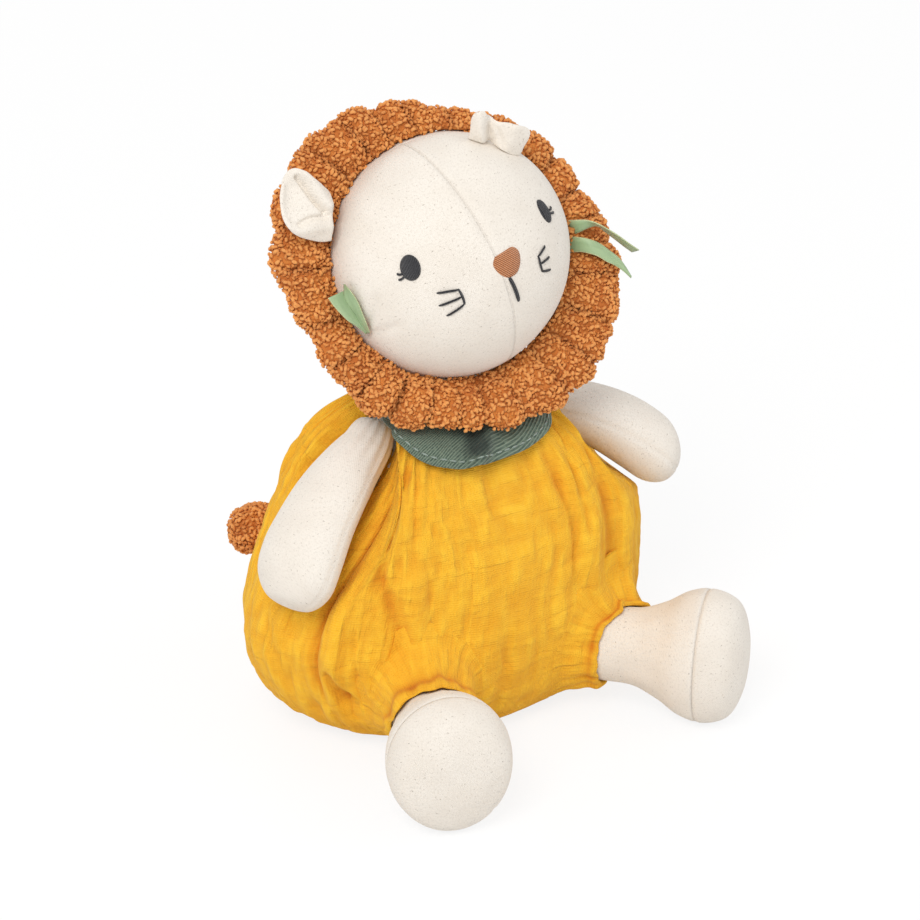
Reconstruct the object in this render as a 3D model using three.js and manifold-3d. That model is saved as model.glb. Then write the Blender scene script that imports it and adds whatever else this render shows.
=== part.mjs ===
// A small sitting lion sewn from cloth: a stuffed linen body, head and limbs, a gathered curly mane,
// a balloon romper and a neckerchief. It faces -Y, its left hand is towards +X, and it sits on Z = 0.
// Sizes are in millimetres and angles in degrees.
import * as THREE from 'three';
import { mergeVertices } from 'three/addons/utils/BufferGeometryUtils.js';
import Module from 'manifold-3d';

const wasm = await Module();
wasm.setup();

// Clearances and cloths
const fit = 0.3; // gap between two pieces that touch
const swingRoom = 1.5; // room round a limb in the opening that it swings in
const linen = 1.2; // cloth of the body, head and limbs
const gauze = 1.5; // two layers of crinkled cotton
const twill = 1.6; // the neckerchief, folded double
const patch = 0.8; // height of the embroidery
const flattened = 0.9; // how deep the table presses into the soft pieces that stand on it

// Torso, inside the romper
const torsoHeight = 126;
const torsoHalfWidth = 57;
const torsoHalfDepth = 40;
const neckRadius = 12; // of the seam that joins torso and head

// Romper
const romperHeight = 117;
const romperHalfWidth = 77;
const romperHalfDepth = 49;
const romperNeckHalfWidth = 25;
const romperNeckHalfDepth = 18;
const romperLean = 3; // how far its top leans to the lion's left
const foldDepth = 5;

// Neckerchief, in lengths down the romper from its neck
const collarStart = 31; // from the middle of the romper's neck
const collarSide = 4;
const collarBackDrop = 12;
const collarFrontDrop = 28;
const collarPointTurn = -14; // its point hangs to the lion's right
const collarRoll = 3;
const collarFlare = 1.5;

// Head
const headHalfWidth = 42.5;
const headHalfDepth = 39;
const headHalfHeight = 41;
const headSink = 3; // how deep it sits in the top of the torso
const headForward = 1;
const headYaw = -5;
const headPitch = 15;
const headRoll = 16;
const headTurn = 15; // how far the seam of the neck lets it turn each way

// Mane, a ring that hangs lower and leans further back than the face
const maneRadius = 60;
const maneHalfThickness = 6.5;
const maneAhead = 4;
const maneDrop = 3.5;
const maneLean = 11;
const maneBend = 5; // how far its bottom is pushed forwards by the neckerchief
const maneLobes = 20;

// Ears
const earWidth = 21;
const earLength = 20;
const earThickness = 3.4;
const earCup = 4.5;
const earAhead = 5; // how far the left ear is sewn in front of the mane

// Embroidery
const eyeWidth = 7;
const eyeHeight = 8.6;
const eyeTurn = 38;
const eyeRise = 14;
const noseWidth = 9.6;
const noseHeight = 8.6;
const noseTurn = 4;
const threadWidth = 1;
const mouthLength = 9.5;
const whiskerLength = 8;
const whiskerTurn = 20;
const whiskerDrop = 7;

// Ribbon ends
const ribbonWidth = 6;
const ribbonThickness = 0.5;
const ribbonLong = 25;
const ribbonShort = 17;
const ribbonRise = 4; // how far an end arches off the mane

// Arms
const armLength = 71.2; // with the round root that turns in the torso
const armRootRadius = 9;
const armHalfWidth = 15.8;
const armHalfThickness = 12;
const armBow = 5;
const shoulderX = 32;
const shoulderY = -2;
const shoulderZ = 103;

// Legs
const legLength = 72.5; // with the round root that turns in the torso
const hipRadius = 13;
const footHalfWidth = 21;
const footHalfHeight = 24;
const hipX = 33;
const hipY = -35.5;

// Tail
const tailRadius = 3.4;
const tailRootRadius = 4.6;
const tailRootX = -4;
const tailRootY = 43;
const tailRootZ = 38;
const tailReach = 45;
const tuftRadius = 9.5;
const tuftLength = 24;

const colours = {
  linen: 0xe9e3d6,
  filling: 0xf4f4f0,
  curl: 0xc07a3c,
  gauze: 0xf0a818,
  twill: 0x4f7a68,
  ribbon: 0xa8c48a,
  thread: 0x23252c,
  nose: 0xc07a42,
};

const radians = THREE.MathUtils.degToRad;
const up = new THREE.Vector3(0, 0, 1);
const down = new THREE.Vector3(0, 0, -1);
const fullTurn = 2 * Math.PI;
const hipZ = footHalfHeight - flattened;
const headCentre = new THREE.Vector3(0, -headForward, torsoHeight + headHalfHeight - headSink);

// Volume inside a closed shape, negative where its faces point inwards.
function volumeOf(points, corners) {
  const a = new THREE.Vector3();
  const b = new THREE.Vector3();
  const c = new THREE.Vector3();
  let sum = 0;
  for (let i = 0; i < corners.length; i += 3) {
    a.fromArray(points, 3 * corners[i]);
    b.fromArray(points, 3 * corners[i + 1]);
    c.fromArray(points, 3 * corners[i + 2]);
    sum += a.dot(b.cross(c)) / 6;
  }
  return sum;
}

// Turns a closed three.js shape into a solid that can be cut and joined.
function solid(geometry, place = null) {
  const bare = geometry.clone();
  bare.deleteAttribute('normal');
  bare.deleteAttribute('uv');
  if (place) bare.applyMatrix4(place);
  const merged = mergeVertices(bare);
  const points = Float32Array.from(merged.attributes.position.array);
  const corners = Uint32Array.from(merged.index.array);
  if (volumeOf(points, corners) < 0) {
    for (let i = 0; i < corners.length; i += 3) {
      [corners[i], corners[i + 1]] = [corners[i + 1], corners[i]];
    }
  }
  return new wasm.Manifold(new wasm.Mesh({ numProp: 3, vertProperties: points, triVerts: corners }));
}

// Adds a solid to a group as a named piece with its cloth's colour.
function addPiece(group, name, body, colour) {
  const made = body.simplify(fit / 2).getMesh();
  const geometry = new THREE.BufferGeometry();
  geometry.setAttribute('position', new THREE.BufferAttribute(made.vertProperties, 3));
  geometry.setIndex(new THREE.BufferAttribute(made.triVerts, 1));
  geometry.computeVertexNormals();
  const cloth = new THREE.MeshStandardMaterial({ color: colour, roughness: 0.9, metalness: 0 });
  const mesh = new THREE.Mesh(geometry, cloth);
  mesh.name = name;
  group.add(mesh);
}

// Moves each point of a sphere or ring to place(around, along), where both run from 0 to 1.
function formed(geometry, place) {
  const position = geometry.attributes.position;
  const uv = geometry.attributes.uv;
  for (let i = 0; i < position.count; i++) {
    const point = place(uv.getX(i), uv.getY(i));
    position.setXYZ(i, point.x, point.y, point.z);
  }
  return geometry;
}

// A swelling form's outline, as a smooth curve of half width, half depth and distance along.
function outline(shares, halfWidth, halfDepth, length) {
  const points = shares.map((share) => new THREE.Vector3(...share));
  const size = new THREE.Vector3(halfWidth, halfDepth, length);
  return new THREE.CatmullRomCurve3(points.map((point) => point.multiply(size)));
}

// A point of a rounded section from its front round to +X. A power above 2 fills its corners.
function sectionPoint(angle, halfWidth, halfDepth, power = 2) {
  const side = Math.sin(angle);
  const ahead = Math.cos(angle);
  return new THREE.Vector2(
    halfWidth * Math.sign(side) * Math.abs(side) ** (2 / power),
    -halfDepth * Math.sign(ahead) * Math.abs(ahead) ** (2 / power),
  );
}

// The shorter turn from one angle to another.
function turnBetween(a, b) {
  return Math.atan2(Math.sin(a - b), Math.cos(a - b));
}

// A smooth hump of height 1 that fades out over a width.
function hump(offset, width) {
  return Math.exp(-((offset / width) ** 2));
}

// Everything past a plane, as a large block for trimming.
function pastPlane(at, facing) {
  const reach = 4 * torsoHeight;
  const block = new THREE.BoxGeometry(reach, reach, reach);
  block.translate(0, 0, reach / 2);
  block.applyQuaternion(new THREE.Quaternion().setFromUnitVectors(up, facing));
  block.translate(at.x, at.y, at.z);
  return solid(block);
}

// An upright ball of room for something round. Its flat faces lie just outside the round surface.
function roomBall(centre, halfWidth, halfHeight, columns) {
  const ball = new THREE.SphereGeometry(1 / Math.cos(Math.PI / columns) ** 2, columns, columns * 0.7);
  ball.rotateX(Math.PI / 2);
  ball.scale(halfWidth, halfWidth, halfHeight);
  ball.translate(centre.x, centre.y, centre.z);
  return solid(ball);
}

// A drum that runs through a point along a direction, as the opening where two covers are sewn together.
function drum(centre, direction, halfWidth, halfDepth, length) {
  const block = new THREE.CylinderGeometry(1, 1, length, 16);
  block.rotateX(Math.PI / 2);
  block.scale(halfWidth, halfDepth, 1);
  block.applyQuaternion(new THREE.Quaternion().setFromUnitVectors(up, direction));
  block.translate(centre.x, centre.y, centre.z);
  return solid(block);
}

// Torso: a pear shape, dished at its top where the head is sewn on
const torsoShares = [
  [0, 0, 0.016], [0.66, 0.66, 0.016], [0.88, 0.88, 0.065], [0.98, 0.98, 0.18], [1, 1, 0.31],
  [0.88, 0.93, 0.47], [0.65, 0.77, 0.63], [0.51, 0.6, 0.76], [0.46, 0.48, 0.85],
  [0.41, 0.4, 0.905], [0.33, 0.33, 0.95], [0.19, 0.2, 0.985], [0, 0, 1],
];

function torsoForm(inset) {
  const curve = outline(torsoShares, torsoHalfWidth - inset, torsoHalfDepth - inset, torsoHeight - 2 * inset);
  const ball = new THREE.SphereGeometry(1, 22, 13);
  return solid(formed(ball, (around, along) => {
    const at = curve.getPointAt(along);
    const ring = sectionPoint(fullTurn * around, at.x, at.y, 2.2);
    return new THREE.Vector3(ring.x, ring.y, at.z + inset);
  }));
}

// Romper: a balloon that hangs round the torso in soft folds
const romperShares = [
  [0, 0, 0], [0.52, 0.58, 0], [0.76, 0.82, 0.04], [0.92, 0.95, 0.14], [1, 1, 0.28], [0.99, 1, 0.4],
  [0.92, 0.96, 0.55], [0.8, 0.87, 0.71], [0.7, 0.77, 0.81], [0.6, 0.65, 0.89],
  [0.49, 0.5, 0.95], [0.37, 0.4, 0.985], [0.24, 0.28, 1], [0, 0, 1],
];
const romperOutline = outline(romperShares, romperHalfWidth, romperHalfDepth, romperHeight);
const romperLining = outline(
  romperShares, romperHalfWidth - gauze, romperHalfDepth - gauze, romperHeight - 2 * gauze,
);
// Each fold: its direction and width in half turns, its depth, and the height that it starts at
const foldShares = [
  [-0.4, 0.045, 1, 0], [-0.3, 0.04, 0.8, 0.05], [0.15, 0.04, 0.9, 0.1], [-0.1, 0.04, 0.35, 0.3],
  [0.05, 0.04, 0.4, 0.3], [0.35, 0.05, 0.7, 0], [0.55, 0.04, 0.7, 0], [-0.6, 0.04, 0.7, 0],
  [0.8, 0.05, 0.6, 0.1], [-0.85, 0.05, 0.6, 0.1], [0.95, 0.04, 0.5, 0.2],
];

function romperPoint(curve, angle, along, lift) {
  const at = curve.getPointAt(THREE.MathUtils.clamp(along, 0, 1));
  const height = at.z / romperHeight;
  const ring = sectionPoint(angle, at.x, at.y, 2.2 + 0.9 * hump(height - 0.85, 0.25));
  let fold = 0;
  for (const [direction, width, depth, start] of foldShares) {
    const across = hump(turnBetween(angle, Math.PI * direction), Math.PI * width);
    const ends = THREE.MathUtils.smoothstep(height, start, start + 0.15) * (1 - 0.7 * height);
    fold += foldDepth * depth * across * ends;
  }
  const size = Math.max(ring.length(), 3 * foldDepth);
  ring.multiplyScalar(1 - fold / size);
  const lean = romperLean * THREE.MathUtils.smoothstep(height, 0.3, 0.75) * (1 - height) * 4;
  return new THREE.Vector3(ring.x + lean, ring.y, at.z + lift);
}

function romperForm(curve, lift) {
  const ball = new THREE.SphereGeometry(1, 40, 12);
  return solid(formed(ball, (around, along) => romperPoint(curve, fullTurn * around, along, lift)));
}

// Neckerchief: a folded band over the neck of the romper, with its point in front
function collarForm() {
  const stretch = romperOutline.getLength();
  const neck = 1 - collarStart / stretch;
  const point = radians(collarPointTurn);
  const step = 0.01;
  const place = (around, section) => {
    const angle = fullTurn * around;
    const turn = fullTurn * section;
    const share = (1 - Math.cos(turn)) / 2;
    const ahead = turnBetween(angle, point);
    const behind = Math.PI - Math.abs(ahead);
    const drop = collarFrontDrop * hump(ahead, 0.85) + collarBackDrop * hump(behind, 0.8);
    const length = collarSide + drop;
    const along = neck - (share * length) / stretch;
    const at = romperPoint(romperOutline, angle, along, 0);
    const across = romperPoint(romperOutline, angle + step, along, 0).sub(at);
    const uphill = romperPoint(romperOutline, angle, along + step, 0).sub(at);
    const outward = across.cross(uphill).normalize();
    const ripple = 1 + 0.5 * Math.cos(7 * ahead);
    const roll = collarRoll * hump(ahead, 0.13) * Math.max(0, Math.sin(turn));
    const flare = collarFlare * ripple * share ** 2;
    return at.addScaledVector(outward, 2 * fit + flare + (twill * (1 + Math.sin(turn))) / 2 + roll);
  };
  return solid(formed(new THREE.TorusGeometry(1, 0.4, 10, 48), place));
}

// Head: in its own frame the centre of the ball is the origin and the face looks along -Y
const headPlace = new THREE.Matrix4().compose(
  headCentre,
  new THREE.Quaternion().setFromEuler(
    new THREE.Euler(radians(-headPitch), radians(-headRoll), radians(headYaw), 'ZXY'),
  ),
  new THREE.Vector3(1, 1, 1),
);
const headHalf = new THREE.Vector3(headHalfWidth, headHalfDepth, headHalfHeight);

function headForm(inset, columns, rows) {
  const ball = new THREE.SphereGeometry(1, columns, rows);
  ball.rotateX(Math.PI / 2);
  ball.scale(headHalfWidth - inset, headHalfDepth - inset, headHalfHeight - inset);
  return solid(ball);
}

// The room that the head needs while it turns round the upright line through its centre.
function headRoom(extra) {
  return roomBall(headCentre, headHalfWidth + extra, headHalfHeight + 2 * extra, 32);
}

// A point of the head's surface, by two angles from the face's middle and a height above it.
function onHead(azimuth, elevation, height) {
  const point = new THREE.Vector3(
    Math.sin(azimuth) * Math.cos(elevation), -Math.cos(azimuth) * Math.cos(elevation), Math.sin(elevation),
  );
  const outward = point.clone().divide(headHalf).normalize();
  return point.multiply(headHalf).addScaledVector(outward, height);
}

// Embroidery: a flat outline laid on the head round a point of the face.
function embroidered(shape, azimuth, elevation) {
  const raised = new THREE.ExtrudeGeometry(shape, { depth: patch, bevelEnabled: false });
  const position = raised.attributes.position;
  const radius = headHalfWidth * Math.cos(radians(elevation));
  for (let i = 0; i < position.count; i++) {
    const point = onHead(
      radians(azimuth) + position.getX(i) / radius,
      radians(elevation) + position.getY(i) / headHalfHeight,
      1.5 * fit + position.getZ(i),
    );
    position.setXYZ(i, point.x, point.y, point.z);
  }
  return solid(raised);
}

// Eye: an upright oval with two lashes at its outer lower corner. Side is 1 on the lion's left.
function eyeShape(side) {
  const points = [];
  const count = 32;
  const lashShares = [-0.06, -0.25];
  for (let i = 0; i < count; i++) {
    const angle = (fullTurn * i) / count;
    const lash = lashShares.reduce((sum, share) => sum + hump(turnBetween(angle, Math.PI * share), 0.12), 0);
    const reach = (1 + 0.5 * lash) / 2;
    points.push(new THREE.Vector2(
      side * reach * eyeWidth * Math.cos(angle), reach * eyeHeight * Math.sin(angle),
    ));
  }
  return new THREE.Shape(points);
}

// Nose: a triangle with round corners, its point down.
function noseShape() {
  const shape = new THREE.Shape();
  const w = noseWidth / 2;
  const h = noseHeight / 2;
  shape.moveTo(-w * 0.75, h);
  shape.quadraticCurveTo(0, h * 0.85, w * 0.75, h);
  shape.quadraticCurveTo(w * 1.3, h * 0.55, w * 0.55, -h * 0.45);
  shape.quadraticCurveTo(0, -h * 1.5, -w * 0.55, -h * 0.45);
  shape.quadraticCurveTo(-w * 1.3, h * 0.55, -w * 0.75, h);
  return shape;
}

// A run of thread between two points.
function threadShape(from, to) {
  const side = new THREE.Vector2(from.y - to.y, to.x - from.x).setLength(threadWidth / 2);
  return new THREE.Shape([
    from.clone().add(side), to.clone().add(side), to.clone().sub(side), from.clone().sub(side),
  ]);
}

// Three whiskers that fan out from a short upright stitch. Side is 1 on the lion's left.
function whiskerForm(side) {
  const spineHalf = whiskerLength * 0.42;
  const runs = [[new THREE.Vector2(0, spineHalf), new THREE.Vector2(0, -spineHalf)]];
  for (const spread of [1, 0, -1]) {
    runs.push([
      new THREE.Vector2(0, spread * spineHalf * 0.85),
      new THREE.Vector2(side * whiskerLength * (1 - 0.12 * Math.abs(spread)), spread * spineHalf * 1.5),
    ]);
  }
  const [first, ...rest] = runs.map(
    ([from, to]) => embroidered(threadShape(from, to), side * whiskerTurn, -whiskerDrop),
  );
  return rest.reduce((joined, run) => joined.add(run), first);
}

// Mouth: one run of thread down from the nose's point.
function mouthForm() {
  const top = -0.58 * noseHeight;
  const run = threadShape(new THREE.Vector2(0, top), new THREE.Vector2(0, top - mouthLength));
  return embroidered(run, noseTurn, 0);
}

// Mane: gathered lobes in a ring. Its frame is the face's, leaned back and let down.
const maneLeaned = new THREE.Matrix4()
  .makeRotationX(radians(-maneLean))
  .setPosition(0, -maneAhead, -maneDrop);

// A point of the mane's frame by its clock angle from the top, its radius and its height in front.
function manePoint(clock, radius, ahead) {
  return new THREE.Vector3(Math.sin(clock) * radius, -ahead, Math.cos(clock) * radius);
}

// How far the ring reaches at each hour of the clock, where its gathers lie wider or closer
const maneReachShares = [1.02, 0.89, 0.895, 0.915, 1.01, 1.02, 0.97, 0.94, 0.98, 0.97, 1.1, 1.12];
const maneReach = new THREE.CatmullRomCurve3(
  maneReachShares.map((share) => new THREE.Vector3(share * maneRadius, 0, 0)), true,
);

// Pushes a point out of the head's ball, so that what lies on the ball follows it.
function clearOfHead(point) {
  const share = point.clone().divide(headHalf).length();
  const wanted = 1 + (1.5 * fit) / headHalfDepth;
  return share < wanted ? point.multiplyScalar(wanted / share) : point;
}

function maneForm() {
  const innerRadius = headHalfDepth - maneHalfThickness / 2;
  const ring = new THREE.TorusGeometry(1, 0.4, 10, 4 * maneLobes);
  return solid(formed(ring, (around, section) => {
    const clock = fullTurn * around;
    const turn = fullTurn * section;
    const lobe = Math.abs(Math.sin((maneLobes * clock) / 2)) ** 0.6;
    const outerRadius = maneReach.getPoint(around).x;
    const outward = Math.cos(turn) * (1 - 0.08 * (1 - lobe) * (1 + Math.cos(turn)));
    const radius = (outerRadius + innerRadius) / 2 + ((outerRadius - innerRadius) / 2) * outward;
    const bend = maneBend * hump(turnBetween(clock, Math.PI), 0.9) * (1 + Math.cos(turn)) / 2;
    const ahead = bend + maneHalfThickness * (0.7 + 0.3 * lobe) * Math.sin(turn);
    return clearOfHead(manePoint(clock, radius, ahead).applyMatrix4(maneLeaned));
  }));
}

// Ear: a soft cupped leaf, hinged where it is sewn into the seam of the mane
const earShares = [
  [0, 0, -0.09], [0.5, 1, -0.07], [0.8, 1, 0.02], [1, 0.95, 0.3], [0.93, 0.85, 0.62], [0.55, 0.7, 0.92], [0, 0, 1],
];

// The ear's frame: X runs along the seam, Z out of it, and -Y is the front. Tilt leans it forwards.
function earPlace({ side, clock: clockDegrees, ahead, tilt }) {
  const clock = radians(side * clockDegrees);
  const height = maneHalfThickness + fit + earThickness / 2 + ahead;
  const seat = manePoint(clock, headHalfHeight + earThickness / 2, height);
  seat.applyMatrix4(maneLeaned);
  const wanted = 1 + (fit + earThickness * 0.62) / headHalfDepth;
  seat.multiplyScalar(wanted / seat.clone().divide(headHalf).length());
  return new THREE.Matrix4()
    .makeRotationX(radians(-maneLean))
    .multiply(new THREE.Matrix4().makeRotationY(clock))
    .multiply(new THREE.Matrix4().makeRotationX(radians(tilt)))
    .setPosition(seat);
}

function earForm() {
  const curve = outline(earShares, earWidth / 2, earThickness / 2, earLength);
  const leaf = new THREE.SphereGeometry(1, 16, 10);
  return solid(formed(leaf, (around, along) => {
    const at = curve.getPointAt(along);
    const ring = sectionPoint(fullTurn * around, at.x, at.y);
    const rise = Math.max(0, at.z / earLength);
    const cup = earCup * rise * ((2 * ring.x) / earWidth) ** 2;
    return new THREE.Vector3(ring.x, ring.y - cup, at.z);
  }));
}

// Ribbon end: a strip that leaves the seam of the face and lies over the mane.
// Heading is its direction on the clock, and rise is the height of its tip in front of the mane.
function ribbonForm({ clock, heading, length, rise, layer }) {
  const level = maneHalfThickness + fit + layer * (ribbonThickness + fit);
  const start = manePoint(radians(clock), headHalfHeight + ribbonWidth / 2, level);
  const away = manePoint(radians(heading), 1, 0);
  const ahead = new THREE.Vector3(0, -1, 0);
  const pathPoint = (share, lift) => start.clone()
    .addScaledVector(away, length * share)
    .addScaledVector(ahead, lift);
  const path = new THREE.CatmullRomCurve3([
    pathPoint(0, 0), pathPoint(0.3, rise / 2), pathPoint(0.65, rise), pathPoint(1, rise / 2),
  ]);
  const steps = 6;
  const strip = new THREE.BoxGeometry(1, 1, 1, 1, 1, steps);
  const position = strip.attributes.position;
  for (let i = 0; i < position.count; i++) {
    const share = position.getZ(i) + 0.5;
    const tangent = path.getTangent(share);
    const across = new THREE.Vector3().crossVectors(tangent, ahead).setLength(ribbonWidth * position.getX(i));
    const lift = new THREE.Vector3().crossVectors(tangent, across).setLength(ribbonThickness);
    if (lift.dot(ahead) < 0) lift.negate();
    const point = path.getPoint(share).add(across).addScaledVector(lift, position.getY(i));
    position.setXYZ(i, point.x, point.y, point.z);
  }
  return solid(strip, maneLeaned);
}

// Arm: in its own frame it hangs from the shoulder along -Z and bows outwards
const armShares = [
  [0, 0, 0], [0.46, 0.41, 0.032], [0.66, 0.56, 0.127], [0.76, 0.72, 0.249], [0.84, 0.86, 0.406],
  [0.94, 0.94, 0.589], [1, 1, 0.755], [0.94, 0.95, 0.886], [0.6, 0.62, 0.973], [0, 0, 1],
];

// Splay opens an arm sideways and reach swings it forwards. Side is 1 on the lion's left.
function armPlace(side, splay, reach) {
  return new THREE.Matrix4().compose(
    new THREE.Vector3(side * shoulderX, shoulderY, shoulderZ),
    new THREE.Quaternion().setFromEuler(
      new THREE.Euler(radians(-reach), -side * radians(splay), 0, 'YXZ'),
    ),
    new THREE.Vector3(1, 1, 1),
  );
}

function armForm(side, inset, columns, rows, place = null) {
  const length = armLength - 2 * inset;
  const curve = outline(armShares, armHalfThickness - inset, armHalfWidth - inset, length);
  const limb = new THREE.SphereGeometry(1, columns, rows);
  return solid(formed(limb, (around, along) => {
    const at = curve.getPointAt(along);
    const ring = sectionPoint(fullTurn * around, at.x, at.y);
    const reached = at.z + inset - armRootRadius;
    const share = THREE.MathUtils.clamp(reached / (armLength - armRootRadius), 0, 1);
    const bow = side * armBow * 4 * share * (1 - share);
    return new THREE.Vector3(ring.x + bow, ring.y, -reached);
  }), place);
}

// Leg: in its own frame it runs from the hip along -Y and opens into a foot with a domed sole
const legShares = [
  [0, 0, 0], [0.34, 0.3, 0.023], [0.54, 0.47, 0.093], [0.62, 0.545, 0.176], [0.62, 0.56, 0.341],
  [0.64, 0.58, 0.473], [0.76, 0.72, 0.588], [0.94, 0.92, 0.695], [1, 1, 0.802], [0.88, 0.88, 0.926],
  [0.5, 0.5, 0.988], [0, 0, 1],
];
const soleSeamShare = 0.786;

function legPlace(side, splay, raise = 0) {
  return new THREE.Matrix4().compose(
    new THREE.Vector3(side * hipX, hipY, hipZ),
    new THREE.Quaternion().setFromEuler(new THREE.Euler(radians(-raise), 0, side * radians(splay), 'ZXY')),
    new THREE.Vector3(1, 1, 1),
  );
}

function legForm(inset, columns, rows, place = null) {
  const curve = outline(legShares, footHalfWidth - inset, footHalfHeight - inset, legLength - 2 * inset);
  const limb = new THREE.SphereGeometry(1, columns, rows);
  return solid(formed(limb, (around, along) => {
    const at = curve.getPointAt(along);
    const ring = sectionPoint(fullTurn * around, at.x, at.y);
    return new THREE.Vector3(ring.x, hipRadius - inset - at.z, -ring.y);
  }), place);
}

// Tail: a cord that leaves the back of the romper and lies along it to a curly tuft
const tailRoot = new THREE.Vector3(tailRootX, tailRootY, tailRootZ);
const tailPathShares = [
  [0, 0, 0], [0, 0.28, 0.02], [-0.33, 0.36, 0.09], [-0.7, 0.31, 0.2], [-1, 0.21, 0.28],
];
const tailPath = new THREE.CatmullRomCurve3(
  tailPathShares.map((share) => new THREE.Vector3(...share).multiplyScalar(tailReach).add(tailRoot)),
);
const tuftShare = 0.92; // where along the tail the tuft's middle is

function tailForm(extra) {
  const section = new THREE.Shape();
  section.absarc(0, 0, tailRadius + extra, 0, fullTurn);
  const cord = new THREE.ExtrudeGeometry(section, { steps: 10, curveSegments: 5, extrudePath: tailPath });
  const root = new THREE.SphereGeometry(tailRootRadius + extra, 12, 8);
  root.translate(tailRoot.x, tailRoot.y, tailRoot.z);
  return solid(cord).add(solid(root));
}

function tuftForm() {
  const half = tuftLength / 2;
  const tuft = formed(new THREE.SphereGeometry(1, 16, 10), (around, along) => {
    const slope = Math.PI * along;
    const radius = tuftRadius * Math.sin(slope) * (1 + 0.06 * Math.cos(4 * fullTurn * around));
    return new THREE.Vector3(
      radius * Math.cos(fullTurn * around), radius * Math.sin(fullTurn * around), -half * Math.cos(slope),
    );
  });
  tuft.applyQuaternion(new THREE.Quaternion().setFromUnitVectors(up, tailPath.getTangent(tuftShare)));
  const centre = tailPath.getPoint(tuftShare);
  tuft.translate(centre.x, centre.y, centre.z);
  return solid(tuft);
}

// How each limb is sewn on: its side, splay and reach or raise, and the swing that it is given
const arms = [
  { hand: 'left', side: 1, splay: 57.5, reach: 16, back: 15, forward: 30 },
  { hand: 'right', side: -1, splay: 46, reach: 17, back: 15, forward: 30 },
];
const legs = [
  { hand: 'left', side: 1, splay: 42, lower: 15, raise: 25 },
  { hand: 'right', side: -1, splay: 20, lower: 15, raise: 25 },
];
const ears = [
  { hand: 'left', side: 1, clock: 39, ahead: earAhead, tilt: 50 },
  { hand: 'right', side: -1, clock: 43, ahead: 0, tilt: 5 },
];

const ribbons = [
  { name: 'ribbon_left_upper', clock: 95, heading: 130, length: ribbonLong, rise: ribbonRise, layer: 0 },
  { name: 'ribbon_left_lower', clock: 108, heading: 150, length: ribbonLong, rise: ribbonRise, layer: 0 },
  { name: 'ribbon_right_upper', clock: -94, heading: -9, length: ribbonShort, rise: ribbonRise, layer: 1 },
  { name: 'ribbon_right_lower', clock: -100, heading: -32, length: ribbonShort, rise: 0, layer: 0 },
];

// The space that an arm sweeps, with room round it.
function armSweep({ side, splay, reach, back, forward }, room) {
  const swings = [-back, 0, forward / 2, forward];
  return wasm.Manifold.hull(
    swings.map((swing) => armForm(side, -room, 10, 8, armPlace(side, splay, reach + swing))),
  ).simplify(fit);
}

// The hole through which an arm's root reaches the torso.
function armhole({ side, splay, reach }) {
  const hole = drum(new THREE.Vector3(0, 0, armRootRadius / 2), up, armRootRadius, armRootRadius, 3 * armRootRadius);
  return hole.transform([...armPlace(side, splay, reach).elements]);
}

// The space that a leg sweeps where it leaves the romper.
function legSweep({ side, splay, lower, raise }, room) {
  const near = roomBall(new THREE.Vector3(side * hipX, hipY, hipZ), 2 * hipRadius, 2 * hipRadius, 8);
  return wasm.Manifold.hull([-lower, 0, raise].map(
    (turn) => legForm(-room, 10, 8, legPlace(side, splay, turn)).intersect(near),
  ));
}

// The torso with a seat for the head, each limb and the tail, all drawn in by the same inset.
function seatedTorso(inset) {
  const room = fit + inset;
  const seats = [headRoom(room), roomBall(tailRoot, tailRootRadius + room, tailRootRadius + room, 12)];
  for (const { side } of arms) {
    const shoulder = new THREE.Vector3(side * shoulderX, shoulderY, shoulderZ);
    seats.push(roomBall(shoulder, armRootRadius + room, armRootRadius + room, 12));
  }
  for (const { side } of legs) {
    const hip = new THREE.Vector3(side * hipX, hipY, hipZ);
    seats.push(roomBall(hip, hipRadius + fit + room, hipRadius + fit + room, 14));
  }
  return seats.reduce((left, seat) => left.subtract(seat), torsoForm(inset));
}

// The chest that the mane hangs clear of while the head turns.
function chestRoom() {
  const chest = romperForm(romperOutline, 0).subtract(
    pastPlane(new THREE.Vector3(0, 0, shoulderZ - collarFrontDrop / 2), down),
  );
  const block = wasm.Manifold.hull([chest, collarForm()]);
  const turned = [-headTurn, 0, headTurn].map((degrees) => {
    const turn = new THREE.Matrix4()
      .makeTranslation(headCentre.x, headCentre.y - 3 * fit, headCentre.z + 2 * fit)
      .multiply(new THREE.Matrix4().makeRotationZ(radians(degrees)))
      .multiply(new THREE.Matrix4().makeTranslation(headCentre.clone().negate()));
    return block.transform([...turn.elements]);
  });
  return wasm.Manifold.hull(turned).simplify(fit / 2);
}

const lion = new THREE.Group();
lion.name = 'sewn_lion';
const table = pastPlane(new THREE.Vector3(), down);
const neckSeat = headCentre.clone().addScaledVector(down, headHalfHeight);
const neckDrum = drum(neckSeat, up, neckRadius, neckRadius, 2 * neckRadius);

const torsoWall = seatedTorso(0).subtract(seatedTorso(linen));
addPiece(lion, 'torso_cover', torsoWall.subtract(neckDrum), colours.linen);
addPiece(lion, 'torso_filling', seatedTorso(linen + 2 * fit), colours.filling);

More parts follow.
